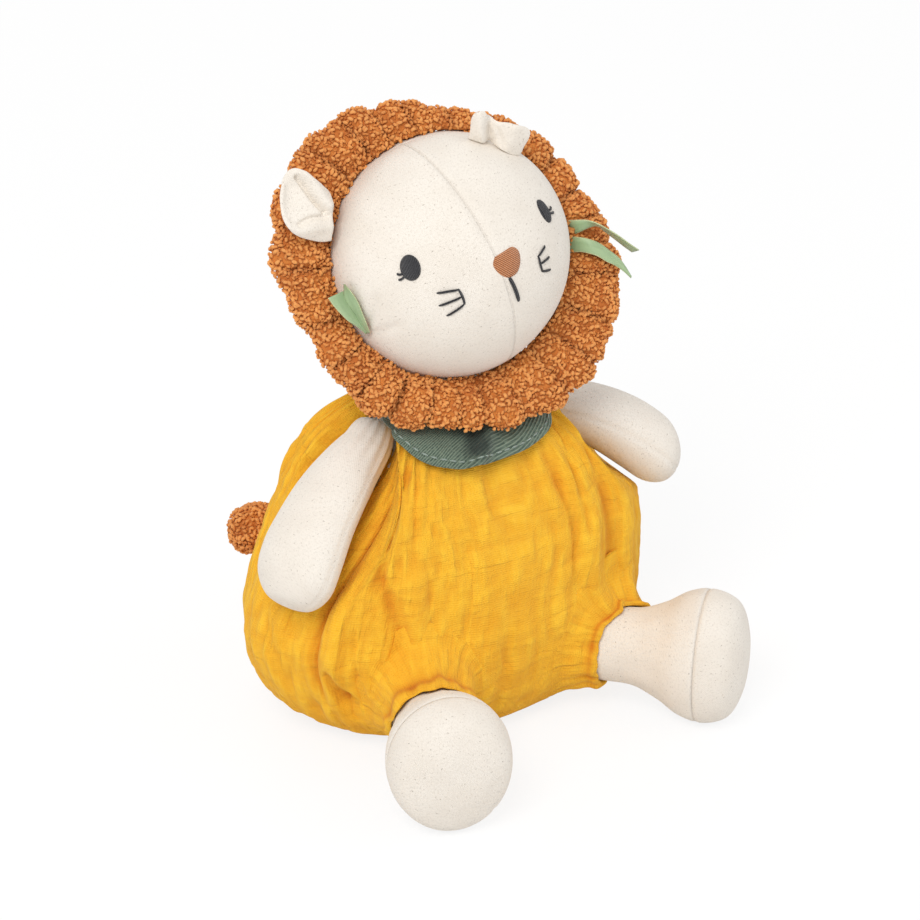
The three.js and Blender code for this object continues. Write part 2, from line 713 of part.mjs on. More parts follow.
const clearOfArms = (body, room) => arms.reduce((left, arm) => left.subtract(armSweep(arm, room)), body);
const romperOutside = clearOfArms(romperForm(romperOutline, 0), swingRoom);
const romperInside = clearOfArms(romperForm(romperLining, gauze), swingRoom + gauze);
const romperNeck = drum(
  new THREE.Vector3(0, 0, romperHeight), up, romperNeckHalfWidth, romperNeckHalfDepth, romperNeckHalfDepth,
);
const tailExit = tailPath.getPoint(0.1);
const romperOpenings = [
  table, romperNeck, torsoForm(-fit), roomBall(tailExit, tailRootRadius + swingRoom, tailRootRadius + swingRoom, 10),
  ...legs.map((leg) => legSweep(leg, swingRoom)),
  ...arms.map((arm) => armhole(arm)),
];
const romper = romperOpenings.reduce(
  (left, opening) => left.subtract(opening), romperOutside.subtract(romperInside),
);
addPiece(lion, 'romper', romper, colours.gauze);
addPiece(lion, 'collar', collarForm(), colours.twill);

const inHead = (body) => body.transform([...headPlace.elements]);
const headWall = headForm(0, 24, 16).subtract(headForm(linen, 24, 16));
addPiece(lion, 'head_cover', inHead(headWall).subtract(neckDrum), colours.linen);
addPiece(lion, 'head_filling', inHead(headForm(linen + 2 * fit, 16, 10)), colours.filling);
addPiece(lion, 'mane', inHead(maneForm()).subtract(chestRoom()), colours.curl);
for (const ear of ears) {
  const leaf = earForm().transform([...earPlace(ear).elements]);
  addPiece(lion, `ear_${ear.hand}`, inHead(leaf), colours.linen);
}
for (const { hand, side } of arms) {
  const eye = embroidered(eyeShape(side), side * eyeTurn, eyeRise);
  addPiece(lion, `eye_${hand}`, inHead(eye), colours.thread);
  addPiece(lion, `whiskers_${hand}`, inHead(whiskerForm(side)), colours.thread);
}
addPiece(lion, 'nose', inHead(embroidered(noseShape(), noseTurn, 0)), colours.nose);
addPiece(lion, 'mouth', inHead(mouthForm()), colours.thread);
for (const ribbon of ribbons) {
  addPiece(lion, ribbon.name, inHead(ribbonForm(ribbon)), colours.ribbon);
}

for (const { hand, side, splay, reach } of arms) {
  const place = armPlace(side, splay, reach);
  const root = new THREE.Vector3(0, 0, armRootRadius);
  const hole = drum(root, up, armRootRadius / 2, armRootRadius / 2, armRootRadius);
  const wall = armForm(side, 0, 16, 12).subtract(armForm(side, linen, 16, 12)).subtract(hole);
  addPiece(lion, `arm_${hand}_cover`, wall.transform([...place.elements]), colours.linen);
  addPiece(lion, `arm_${hand}_filling`, armForm(side, linen + 3 * fit, 12, 9, place), colours.filling);
}

for (const { hand, side, splay } of legs) {
  const place = legPlace(side, splay);
  const root = new THREE.Vector3(0, hipRadius, 0);
  const hole = drum(root, new THREE.Vector3(0, 1, 0), hipRadius / 2, hipRadius / 2, hipRadius);
  const seam = legLength * soleSeamShare - hipRadius;
  const pastSeam = pastPlane(new THREE.Vector3(0, -seam, 0), new THREE.Vector3(0, -1, 0));
  const beforeSeam = pastPlane(new THREE.Vector3(0, -seam - fit, 0), new THREE.Vector3(0, 1, 0));
  const wall = legForm(0, 16, 13).subtract(legForm(linen, 16, 13)).subtract(hole);
  const cover = wall.subtract(pastSeam).transform([...place.elements]);
  const sole = wall.subtract(beforeSeam).transform([...place.elements]);
  addPiece(lion, `leg_${hand}_cover`, cover.subtract(table), colours.linen);
  addPiece(lion, `leg_${hand}_sole`, sole.subtract(table), colours.linen);
  addPiece(lion, `leg_${hand}_filling`, legForm(linen + 4 * fit, 12, 9, place), colours.filling);
}

addPiece(lion, 'tail', tailForm(0), colours.linen);
addPiece(lion, 'tail_tuft', tuftForm().subtract(tailForm(fit)), colours.curl);

export default lion;
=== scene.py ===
"""A small sitting lion in its cloths: flecked linen, curly pile, crinkled gauze, twill, satin and thread."""
import math
from contextlib import contextmanager
import bmesh
import bpy
import numpy as np
from mathutils import Matrix, Vector


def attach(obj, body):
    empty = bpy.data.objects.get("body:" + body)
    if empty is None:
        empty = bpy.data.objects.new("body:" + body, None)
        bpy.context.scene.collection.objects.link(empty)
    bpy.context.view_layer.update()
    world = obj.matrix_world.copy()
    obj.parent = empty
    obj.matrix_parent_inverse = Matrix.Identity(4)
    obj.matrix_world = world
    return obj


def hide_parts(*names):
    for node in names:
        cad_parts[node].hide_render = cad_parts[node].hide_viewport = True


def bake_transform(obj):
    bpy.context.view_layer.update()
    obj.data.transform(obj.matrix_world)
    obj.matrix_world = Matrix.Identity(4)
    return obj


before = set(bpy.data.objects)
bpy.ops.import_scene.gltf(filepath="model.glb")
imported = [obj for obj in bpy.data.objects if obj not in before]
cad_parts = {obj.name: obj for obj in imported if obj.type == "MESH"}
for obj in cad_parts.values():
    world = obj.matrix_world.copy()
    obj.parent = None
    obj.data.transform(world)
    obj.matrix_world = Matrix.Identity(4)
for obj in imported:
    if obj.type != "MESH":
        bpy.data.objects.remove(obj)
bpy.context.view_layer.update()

MM = 0.001
TURN = 2 * math.pi

# Sizes in millimetres, as the solids have them
HEAD_CENTRE = np.array([0.0, -1.0, 164.0])
HEAD_HALF = np.array([42.5, 39.0, 41.0])
ROMPER = (77.0, 49.0, 117.0)
ROMPER_SHARES = [
    (0, 0, 0), (.52, .58, 0), (.76, .82, .04), (.92, .95, .14), (1, 1, .28), (.99, 1, .4), (.92, .96, .55),
    (.8, .87, .71), (.7, .77, .81), (.6, .65, .89), (.49, .5, .95), (.37, .4, .985), (.24, .28, 1), (0, 0, 1),
]
ARM = (12.0, 15.8, 71.2)
ARM_SHARES = [
    (0, 0, 0), (.46, .41, .032), (.66, .56, .127), (.76, .72, .249), (.84, .86, .406), (.94, .94, .589),
    (1, 1, .755), (.94, .95, .886), (.6, .62, .973), (0, 0, 1),
]
ARM_AT = np.array([32.0, -2.0, 103.0])
ARM_ROOT = 9.0
ARM_BOW = 5.0
ARM_SWINGS = np.radians(np.linspace(-15, 30, 7))
LEG = (21.0, 24.0, 72.5)
LEG_SHARES = [
    (0, 0, 0), (.34, .3, .023), (.54, .47, .093), (.62, .545, .176), (.62, .56, .341), (.64, .58, .473),
    (.76, .72, .588), (.94, .92, .695), (1, 1, .802), (.88, .88, .926), (.5, .5, .988), (0, 0, 1),
]
LEG_AT = np.array([33.0, -35.5, 23.1])
LEG_ROOT = 13.0
LEG_SEAM = 0.786
LEG_SWINGS = np.radians([-15, -5, 5, 15, 25])
EAR_THICK = 1.7
RIBBON_WIDTH = 6.0
GAUZE_THICK, CUFF_THICK, RIBBON_THICK = 0.9, 0.8, 0.35
TAIL_ROOT = np.array([-4.0, 43.0, 38.0])
TAIL_SHARES = [(0, 0, 0), (0, .28, .02), (-.33, .36, .09), (-.7, .31, .2), (-1, .21, .28)]
TAIL_REACH = 45.0
TAIL_RADIUS = 3.4


# Camera, turned to the lion's right and looking down on it. Lengths are in millimetres, but for the picture's
PICTURE = 920
MIDDLE = PICTURE / 2
SENSOR = 36
VIEW_TURN, VIEW_RISE = math.radians(-33), math.radians(27)
VIEW_RIGHT = np.array([math.cos(VIEW_TURN), math.sin(VIEW_TURN), 0])
VIEW_BACK = np.array([math.sin(VIEW_TURN) * math.cos(VIEW_RISE), -math.cos(VIEW_TURN) * math.cos(VIEW_RISE),
                      math.sin(VIEW_RISE)])
VIEW_ABOVE = np.cross(VIEW_BACK, VIEW_RIGHT)
VIEW_TARGET = 5.34 * VIEW_RIGHT + 77.58 * VIEW_ABOVE
VIEW_AWAY = 1150.0
VIEW_SCALE = 2.81
FACING = 0.03  # cloth shows where it faces the camera by more than this


def in_scene(name, data):
    made = bpy.data.objects.new(name, data)
    bpy.context.scene.collection.objects.link(made)
    return made


def look():
    data = bpy.data.cameras.new("view")
    data.sensor_width = SENSOR
    data.lens = SENSOR * VIEW_SCALE * VIEW_AWAY / PICTURE
    camera = in_scene("view", data)
    axes = Matrix((VIEW_RIGHT, VIEW_ABOVE, VIEW_BACK)).transposed().to_4x4()
    camera.matrix_world = Matrix.Translation((VIEW_TARGET + VIEW_AWAY * VIEW_BACK) * MM) @ axes
    bpy.context.scene.camera = camera


def in_picture(points):
    """Where points show in the picture."""
    q = points - VIEW_TARGET
    size = VIEW_SCALE * VIEW_AWAY / (VIEW_AWAY - q @ VIEW_BACK)
    return np.stack([MIDDLE + size * (q @ VIEW_RIGHT), MIDDLE - size * (q @ VIEW_ABOVE)], -1)


def at_level(spots, level, place):
    """Points at a level in front of a frame's middle plane that show at these spots of the picture."""
    start = VIEW_TARGET + VIEW_AWAY * VIEW_BACK
    beside, above = (spots[:, :1] - MIDDLE) * VIEW_RIGHT, (spots[:, 1:] - MIDDLE) * VIEW_ABOVE
    through = VIEW_TARGET + (beside - above) / VIEW_SCALE
    start, through = moved(start, place.inverted()), moved(through, place.inverted())
    away = through - start
    return start + ((-level - start[1]) / away[:, 1])[:, None] * away


look()


# Curves and forms
def ramp(x, low, high):
    """Rises smoothly from 0 to 1 between low and high."""
    t = np.clip((x - low) / (high - low), 0, 1)
    return t * t * (3 - 2 * t)


def hump(offset, width):
    return np.exp(-(offset / width) ** 2)


def turn_between(a, b):
    return np.arctan2(np.sin(a - b), np.cos(a - b))


def soft_noise(u, v, across, along, seed):
    """Smooth bumps from -1 to 1. Across counts them round u, where they close, and along counts them up v."""
    bumps = np.random.default_rng(seed).uniform(-1, 1, (along + 2, across))
    x, y = (u % 1) * across, np.clip(v, 0, 1) * along
    i, j = x.astype(int) % across, y.astype(int)
    a, b = ramp(x - np.floor(x), 0, 1), ramp(y - j, 0, 1)
    low = bumps[j, i] * (1 - a) + bumps[j, (i + 1) % across] * a
    high = bumps[j + 1, i] * (1 - a) + bumps[j + 1, (i + 1) % across] * a
    return low * (1 - b) + high * b


class Curve:
    """A smooth curve through points, read by its share of the length."""

    def __init__(self, points, size=(1, 1, 1)):
        p = np.array(points, float) * np.array(size, float)
        p = np.vstack([2 * p[0] - p[1], p, 2 * p[-1] - p[-2]])
        t = np.linspace(0, 1, 60, endpoint=False)[:, None]
        runs = []
        for a, b, c, d in zip(p, p[1:], p[2:], p[3:]):
            near, before, after = (np.linalg.norm(step) ** 0.5 for step in (c - b, b - a, d - c))
            near = near if near > 1e-4 else 1.0
            before = before if before > 1e-4 else near
            after = after if after > 1e-4 else near
            leave = ((b - a) / before - (c - a) / (before + near) + (c - b) / near) * near
            arrive = ((c - b) / near - (d - b) / (near + after) + (d - c) / after) * near
            cubic = (2 * b - 2 * c + leave + arrive) * t ** 3 + (-3 * b + 3 * c - 2 * leave - arrive) * t ** 2
            runs.append(cubic + leave * t + b)
        self.points = np.vstack(runs + [p[-2:-1]])
        steps = np.linalg.norm(np.diff(self.points, axis=0), axis=1)
        self.share = np.concatenate([[0], np.cumsum(steps)])
        self.length = self.share[-1]
        self.share = self.share / self.length

    def at(self, share):
        return np.stack([np.interp(share, self.share, self.points[:, k]) for k in range(3)], -1)

    def by_height(self, height):
        """Half width and half depth of a form at a distance along it."""
        along = np.maximum.accumulate(self.points[:, 2]) + np.arange(len(self.points)) * 1e-9
        return np.interp(height, along, self.points[:, 0]), np.interp(height, along, self.points[:, 1])


def section(angle, half_width, half_depth, power=2.0):
    side, ahead = np.sin(angle), np.cos(angle)
    return (half_width * np.sign(side) * np.abs(side) ** (2 / power),
            -half_depth * np.sign(ahead) * np.abs(ahead) ** (2 / power))


def lattice(rows, columns, start=0.0, end=1.0):
    """Angles round and shares along, one row of points for each share."""
    angle = np.arange(columns) / columns * TURN
    return np.meshgrid(angle, np.linspace(start, end, rows))


def moved(points, matrix):
    m = np.array(matrix)
    return points @ m[:3, :3].T + m[:3, 3]


def normals_of(grid):
    """Outward directions of a grid of points that closes round its columns."""
    across = np.roll(grid, -1, 1) - np.roll(grid, 1, 1)
    along = np.gradient(grid, axis=0)
    out = np.cross(across, along)
    out /= np.maximum(np.linalg.norm(out, axis=2, keepdims=True), 1e-9)
    return out


# Meshes
def smoothed(mesh):
    mesh.polygons.foreach_set("use_smooth", [True] * len(mesh.polygons))


def carry(mesh, name, values):
    """Gives each point a value that a finish reads by its name."""
    mesh.attributes.new(name, "FLOAT", "POINT").data.foreach_set("value", values.astype(np.float32).ravel())


@contextmanager
def opened(mesh, *sources):
    """A mesh, or a new one out of several, for changes to its faces."""
    bm = bmesh.new()
    for source in sources or (mesh,):
        bm.from_mesh(source)
    yield bm
    bm.to_mesh(mesh)
    bm.free()
    mesh.update()


def tidied(mesh, merge=0.0, fill=False):
    """Drops loose points, joins points that meet, closes holes and turns the faces outwards."""
    with opened(mesh) as bm:
        bmesh.ops.delete(bm, geom=[v for v in bm.verts if not v.link_faces], context="VERTS")
        if merge:
            bmesh.ops.remove_doubles(bm, verts=bm.verts, dist=merge)
        if fill:
            bmesh.ops.holes_fill(bm, edges=[e for e in bm.edges if e.is_boundary], sides=0)
        bmesh.ops.recalc_face_normals(bm, faces=bm.faces)


def wrapped(name, grid, material, flat=None, closed=True, poles=True, keep=None, crease=None):
    """A piece over a grid of points. Flat gives each point its place on the cloth, and crease how much painted shade
    darkens each point in folds and pleats.
    """
    rows, columns = grid.shape[:2]
    index = np.arange(rows * columns).reshape(rows, columns)
    points = grid.reshape(-1, 3).copy()
    if poles:
        for row in (0, rows - 1):
            points[index[row]] = points[index[row]].mean(0)
            index[row] = index[row, 0]
    if flat is None:
        girth = np.linalg.norm(np.roll(grid, -1, 1) - grid, axis=2).sum(1)
        flat = cloth_places((np.arange(columns + 1) / columns - 0.5) * girth[:, None], run_down(grid))
    faces, uvs = [], []
    for r in range(rows - 1):
        for c in range(columns if closed else columns - 1):
            n = (c + 1) % columns
            if keep is not None and not keep[r, c]:
                continue
            corners = [index[r, c], index[r, n], index[r + 1, n], index[r + 1, c]]
            spots = [flat[r, c], flat[r, c + 1], flat[r + 1, c + 1], flat[r + 1, c]]
            ring = [k for k in range(4) if corners[k] != corners[k - 1]]
            faces.append([int(corners[k]) for k in ring])
            uvs.extend(spots[k] for k in ring)
    mesh = bpy.data.meshes.new(name)
    mesh.from_pydata((points * MM).tolist(), [], faces)
    if crease is not None:
        carry(mesh, "crease", crease)
    mesh.uv_layers.new(name="cloth").data.foreach_set("uv", (np.asarray(uvs, np.float32) * MM).ravel())
    smoothed(mesh)
    mesh.materials.append(material)
    tidied(mesh)
    return in_scene(name, mesh)


def cloth_places(across, down):
    """Places on the cloth of points whose columns lie this far across it, and rows this far down."""
    return np.stack(np.broadcast_arrays(across, down[:, None]), -1)


def run_down(grid):
    """Mean length along the cloth from the first row to each row."""
    steps = np.linalg.norm(np.diff(grid, axis=0), axis=2).mean(1)
    return np.concatenate([[0], np.cumsum(steps)])


def applied(piece):
    """Turns what a piece's modifiers make of it into its plain mesh."""
    bpy.context.view_layer.update()
    mesh = bpy.data.meshes.new_from_object(piece.evaluated_get(bpy.context.evaluated_depsgraph_get()))
    old = piece.data
    piece.modifiers.clear()
    piece.data = mesh
    bpy.data.meshes.remove(old)
    mesh.name = piece.name
    smoothed(mesh)
    return piece


def with_modifier(piece, kind, **settings):
    modifier = piece.modifiers.new(kind.lower(), kind)
    for key, value in settings.items():
        setattr(modifier, key, value)
    return piece


def thickened(piece, thickness, side):
    """Gives cloth its thickness, inwards at side -1 and to both sides at 0."""
    return applied(with_modifier(piece, "SOLIDIFY", thickness=thickness * MM, offset=side))


def joined(name, pieces):
    """One piece out of several that are one thing."""
    mesh = bpy.data.meshes.new(name)
    with opened(mesh, *[piece.data for piece in pieces]) as bm:
        for face in bm.faces:
            face.smooth = True
    mesh.materials.append(pieces[0].data.materials[0])
    for piece in pieces:
        bpy.data.objects.remove(piece)
    return in_scene(name, mesh)


def dressed(piece, body, slot, *nodes):
    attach(piece, body)
    if nodes:
        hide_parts(*nodes)
    return piece


# Shader maths
class Wire:
    """A node's output, on which sums are written."""

    def __init__(self, finish, socket):
        self.finish = finish
        self.socket = socket

    def sum(self, operation, *values):
        return self.finish.add("ShaderNodeMath", dict(enumerate(values)), operation=operation)

    def __add__(self, other):
        return self.sum("ADD", self, other)

    def __sub__(self, other):
        return self.sum("SUBTRACT", self, other)

    def __rsub__(self, other):
        return self.sum("SUBTRACT", other, self)

    def __mul__(self, other):
        return self.sum("MULTIPLY", self, other)

    def sine(self):
        return self.sum("SINE", self)

    def size(self):
        return self.sum("ABSOLUTE", self)

    def between(self, low, high):
        """0 below low, 1 above high."""
        values = {"Value": self, "From Min": low, "From Max": high}
        return self.finish.add("ShaderNodeMapRange", values, interpolation_type="SMOOTHSTEP")

    __radd__ = __add__
    __rmul__ = __mul__


class Finish:
    """A material, with one method that makes any node of it."""

    def __init__(self, name, **shader):
        self.material = bpy.data.materials.new(name)
        self.material.use_nodes = True
        self.tree = self.material.node_tree
        self.tree.nodes.clear()
        self.shader = self.tree.nodes.new("ShaderNodeBsdfPrincipled")
        self.fill(self.shader, {key.replace("_", " ").title(): value for key, value in shader.items()})
        end = self.tree.nodes.new("ShaderNodeOutputMaterial")
        self.tree.links.new(self.shader.outputs[0], end.inputs["Surface"])

    def fill(self, node, values):
        for key, value in values.items():
            socket = node.inputs[key]
            if isinstance(value, Wire):
                self.tree.links.new(value.socket, socket)
            else:
                socket.default_value = value

    def add(self, kind, values=(), output=0, **settings):
        node = self.tree.nodes.new(kind)
        for key, value in settings.items():
            setattr(node, key, value)
        self.fill(node, dict(values))
        return Wire(self, node.outputs[output])

    def mixed(self, share, first, second):
        values = {0: share, 6: first, 7: second}
        return self.add("ShaderNodeMix", values, output=2, data_type="RGBA")

    def noise(self, place, scale, detail=2.0, roughness=0.5):
        values = {"Vector": place, "Scale": scale, "Detail": detail, "Roughness": roughness}
        return self.add("ShaderNodeTexNoise", values, output="Fac")

    def streaks(self, place, across, along, detail=2.0, roughness=0.5):
        """Noise drawn out one way. Across and along count its lumps in a metre of cloth."""
        drawn = self.add("ShaderNodeVectorMath", {0: place, 1: (across, along, 1)}, operation="MULTIPLY")
        return self.noise(drawn, 1.0, detail, roughness)

    def waves(self, along, pitch, wander=0.0):
        """Rises and falls once in each pitch."""
        return (along * (TURN / pitch) + wander).sine()

    def carried(self, name):
        """The value that each point or curl carries under a name."""
        return self.add("ShaderNodeAttribute", output="Fac", attribute_name=name)

    def flat(self):
        """The place on the cloth and its two parts, in metres."""
        place = self.add("ShaderNodeUVMap", uv_map="cloth")
        return place, *(self.add("ShaderNodeSeparateXYZ", {0: place}, axis) for axis in "XY")

    def done(self, colour, height, depth):
        """The material with its colour, and bumps that are this deep."""
        bump = self.add("ShaderNodeBump", {"Strength": 1.0, "Distance": depth, "Height": height})
        self.fill(self.shader, {"Base Color": colour, "Normal": bump})
        return self.material


def rgb(red, green, blue):
    """A colour as it is seen, from 0 to 255, made ready for a shader."""
    parts = [c / 255 for c in (red, green, blue)]
    return tuple(c / 12.92 if c < 0.04045 else ((c + 0.055) / 1.055) ** 2.4 for c in parts) + (1.0,)


# Widths of threads, ribs and stitches, in metres
LINEN_THREAD, SEAM_STITCH = 0.0009, 0.0024
GAUZE_RIB, GAUZE_THREAD = 0.00085, 0.0011
TWILL_RIB = 0.0013
SATIN_LOOP, SATIN_THREAD = 0.0007, 0.0004


def linen_cloth(name, seamed=False):
    """Oatmeal plain weave with slubs and flecks along the threads. The face's has a seam down its middle, with painted
    shade along its groove.
    """
    f = Finish(name, roughness=0.88, sheen_weight=0.12, sheen_roughness=0.5)
    place, u, v = f.flat()
    weave = f.waves(u, LINEN_THREAD) * f.waves(v, LINEN_THREAD)
    height = weave * 0.25 + f.streaks(place, 180, 1500) * 0.6 + f.streaks(place, 1500, 180) * 0.6
    tone = f.mixed(f.noise(place, 60.0, 3.0).between(0.35, 0.7), rgb(238, 231, 221), rgb(233, 225, 214))
    tone = f.mixed(f.noise(place, 1300.0).between(0.45, 0.75) * 0.8, tone, rgb(224, 216, 205))
    across, along = f.streaks(place, 700, 1400, 2.0, 0.6), f.streaks(place, 1400, 700, 2.0, 0.6)
    tone = f.mixed(across.between(0.64, 0.74) * 0.65, tone, rgb(142, 130, 116))
    tone = f.mixed(along.between(0.65, 0.75) * 0.55, tone, rgb(158, 147, 135))
    if seamed:
        line = u.size().between(0.0001, 0.0006)
        height = height + line * 1.6 + f.waves(v, SEAM_STITCH) * (1.0 - line) * 0.5
        # painted shade along the middle of the seam's groove
        tone = f.mixed((1.0 - line) * 0.25, tone, rgb(205, 195, 184))
    return f.done(tone, height, 0.00012)


def curly_pile(name, light):
    """Caramel pile. Each curl has its own tone; with light, curls are lightened at random towards a painted highlight.
    Painted shade darkens the pleats.
    """
    f = Finish(name, roughness=0.85, sheen_weight=0.35, sheen_roughness=0.45, sheen_tint=rgb(255, 205, 150))
    place = f.add("ShaderNodeTexCoord", output="Object")
    tone = f.mixed(f.noise(place, 160.0, 3.0).between(0.3, 0.72), rgb(190, 106, 40), rgb(216, 134, 58))
    if light:
        # painted highlight, given to each curl by its random tone
        tone = f.mixed(f.carried("tone") * 0.65, tone, rgb(246, 176, 102))
    # painted shade in the pleats of the mane
    tone = f.mixed(f.carried("crease"), tone, rgb(112, 52, 18))
    return f.done(tone, f.noise(place, 1700.0), 0.0002)


def gauze_cloth():
    """Mustard double gauze: a fine open weave over crinkles that run up and round the cloth. Painted shade darkens its
    crinkle valleys and the hollows of its folds.
    """
    f = Finish("mustard_gauze", roughness=0.9, sheen_weight=0.2, sheen_roughness=0.5, sheen_tint=rgb(255, 220, 110))
    place, u, v = f.flat()
    ribs = f.waves(v, GAUZE_RIB, f.streaks(place, 500, 60) * 9.0)
    threads = f.waves(u, GAUZE_THREAD, f.streaks(place, 60, 500) * 9.0)
    weave = ribs * 0.5 + threads * 0.3
    upright = 1.0 - (f.streaks(place, 120, 26) - 0.5).size().between(0.0, 0.15)
    level = 1.0 - (f.streaks(place, 34, 105) - 0.5).size().between(0.0, 0.12)
    soft = f.streaks(place, 300, 150, 3.0, 0.6)
    height = weave * 0.12 + soft * 1.1 - upright * 0.6 - level * 0.35
    tone = f.mixed(soft.between(0.3, 0.7), rgb(243, 180, 26), rgb(250, 194, 42))
    tone = f.mixed(weave.between(-0.7, 0.5) * 0.25, tone, rgb(255, 210, 76))
    # painted shade along the crinkle valleys
    tone = f.mixed(upright * 0.28 + level * 0.12, tone, rgb(222, 142, 12))
    # painted shade in the hollows of folds and gathers, carried by each point
    tone = f.mixed(f.carried("crease"), tone, rgb(206, 118, 6))
    return f.done(tone, height, 0.0007)


def twill_cloth():
    """Dark sage twill with fine slanting ribs."""
    f = Finish("sage_twill", roughness=0.85, sheen_weight=0.2, sheen_roughness=0.5)
    place, u, v = f.flat()
    rib = f.waves(u + v, TWILL_RIB, f.noise(place, 150.0) * 3.0)
    grain = f.streaks(place, 1100, 1100)
    tone = f.mixed(grain.between(0.35, 0.7), rgb(70, 90, 76), rgb(112, 130, 112))
    tone = f.mixed(rib.between(0.0, 0.9) * 0.65, tone, rgb(154, 170, 148))
    # painted shade under the rolled edge
    tone = f.mixed(f.carried("crease"), tone, rgb(26, 36, 33))
    return f.done(tone, rib * 0.5 + grain * 0.5, 0.00018)


def satin_ribbon():
    """Pale sage satin with a woven edge of small loops."""
    f = Finish("sage_satin", roughness=0.34, sheen_weight=0.2, anisotropic=0.4, coat_weight=0.08, coat_roughness=0.3)
    place, u, v = f.flat()
    edge = (u * (2 / (RIBBON_WIDTH * MM))).size().between(0.86, 0.92)
    loops = f.waves(v, SATIN_LOOP).between(-0.4, 0.4)
    tone = f.mixed(f.streaks(place, 300, 60).between(0.3, 0.7), rgb(146, 172, 128), rgb(166, 190, 146))
    tone = f.mixed(edge * (0.4 + loops * 0.6), tone, rgb(206, 210, 160))
    return f.done(tone, f.waves(v, SATIN_THREAD), 0.00002)


def stitched_thread(name, dark, light, pitch, shine):
    """Threads that lie side by side across the flat place's first direction. Each strand goes from dark to light:
    painted shade between strands and a painted highlight on their crowns.
    """
    f = Finish(name, roughness=shine, sheen_weight=0.2, anisotropic=0.3)
    place, u, _ = f.flat()
    strand = f.waves(u, pitch, f.streaks(place, 300, 900) * 3.0)
    return f.done(f.mixed(strand.between(-0.8, 0.9), dark, light), strand, 0.0002)


LINEN = linen_cloth("oatmeal_linen")
FACE_LINEN = linen_cloth("oatmeal_face_linen", True)
CURL = curly_pile("caramel_curls", True)
BACKING = curly_pile("caramel_backing", False)
GAUZE = gauze_cloth()
TWILL = twill_cloth()
SATIN = satin_ribbon()
# Each thread's two colours are painted shade between its strands and painted highlight on their crowns
THREAD = stitched_thread("dark_thread", rgb(14, 15, 20), rgb(48, 48, 56), 0.0005, 0.5)
COPPER = stitched_thread("copper_thread", rgb(168, 88, 40), rgb(240, 166, 108), 0.0006, 0.4)
STITCH = stitched_thread("pale_thread", rgb(158, 184, 170), rgb(204, 220, 208), 0.0004, 0.6)


# Repeated shapes
def tree_of(name, **given):
    """A geometry tree with named inputs, and the functions that add a node to it and that end it."""
    tree = bpy.data.node_groups.new(name, "GeometryNodeTree")
    tree.interface.new_socket("Geometry", in_out="INPUT", socket_type="NodeSocketGeometry")
    for key, kind in given.items():
        tree.interface.new_socket(key, in_out="INPUT", socket_type="NodeSocket" + kind)
    tree.interface.new_socket("Geometry", in_out="OUTPUT", socket_type="NodeSocketGeometry")
    start = tree.nodes.new("NodeGroupInput").outputs

    def add(kind, links, values=(), **settings):
        node = tree.nodes.new(kind)
        for key, value in settings.items():
            setattr(node, key, value)
        for key, value in dict(values).items():
            node.inputs[key].default_value = value
        for key, source in links.items():
            tree.links.new(source, node.inputs[key])
        return node.outputs

    def end(instances):
        whole = add("GeometryNodeRealizeInstances", {"Geometry": instances})
        made = add("GeometryNodeSetMaterial", {"Geometry": whole[0], "Material": start["Finish"]})
        tree.links.new(made[0], tree.nodes.new("NodeGroupOutput").inputs["Geometry"])
        return tree

    return start, add, end


def curls_tree():
    """Scatters a curl over a surface, each turned, sized and toned by chance."""
    given, add, end = tree_of(
        "curls", Curl="Object", Spacing="Float", Smallest="Float", Largest="Float", Seed="Int", Finish="Material")
    spread = add("GeometryNodeDistributePointsOnFaces", {
        "Mesh": given["Geometry"], "Distance Min": given["Spacing"], "Seed": given["Seed"],
    }, {"Density Max": 2e6}, distribute_method="POISSON")
    curl = add("GeometryNodeObjectInfo", {"Object": given["Curl"]})
    tilt = add("FunctionNodeRandomValue", {"Seed": given["Seed"]},
               {0: (-0.7, -0.7, 0), 1: (0.7, 0.7, TURN)}, data_type="FLOAT_VECTOR")
    lie = add("FunctionNodeRotateRotation", {"Rotation": spread["Rotation"], "Rotate By": tilt[0]},
              rotation_space="LOCAL")
    size = add("FunctionNodeRandomValue", {2: given["Smallest"], 3: given["Largest"], "Seed": given["Seed"]})
    placed = add("GeometryNodeInstanceOnPoints", {
        "Points": spread["Points"], "Instance": curl["Geometry"], "Rotation": lie[0], "Scale": size[1],
    })
    # each curl's random share of the painted highlight
    tone = add("FunctionNodeRandomValue", {"Seed": given["Seed"]})
    toned = add("GeometryNodeStoreNamedAttribute", {"Geometry": placed[0], "Value": tone[1]},
                {"Name": "tone"}, data_type="FLOAT", domain="INSTANCE")
    return end(toned[0])


def stitches_tree():
    """Lays a stitch at each step of a path."""
    given, add, end = tree_of("stitches", Stitch="Object", Step="Float", Finish="Material")
    path = add("GeometryNodeMeshToCurve", {"Mesh": given["Geometry"]})
    points = add("GeometryNodeCurveToPoints", {"Curve": path[0], "Length": given["Step"]}, mode="LENGTH")
    up = add("GeometryNodeInputNamedAttribute", {}, {"Name": "outward"}, data_type="FLOAT_VECTOR")
    lie = add("FunctionNodeAxesToRotation", {"Primary Axis": points["Tangent"], "Secondary Axis": up[0]},
              primary_axis="X", secondary_axis="Z")
    stitch = add("GeometryNodeObjectInfo", {"Object": given["Stitch"]})
    placed = add("GeometryNodeInstanceOnPoints", {
        "Points": points["Points"], "Instance": stitch["Geometry"], "Rotation": lie[0],
    })
    return end(placed[0])


def grown(name, ground, tree, **inputs):
    """What a tree makes out of a mesh, as a plain mesh of its own."""
    piece = in_scene(name, ground)
    modifier = piece.modifiers.new("growth", "NODES")
    modifier.node_group = tree
    named = {item.name: item.identifier for item in tree.interface.items_tree if item.in_out == "INPUT"}
    for key, value in inputs.items():
        modifier[named[key]] = value
    return applied(piece)


def curled(name, ground, body, spacing, smallest, largest, seed):
    """Small curls all over a surface."""
    curls = grown(name, ground, CURLS, Curl=CURL_SHAPE, Spacing=spacing * MM, Smallest=smallest, Largest=largest,
                  Seed=seed, Finish=CURL)
    dressed(curls, body, "curl")


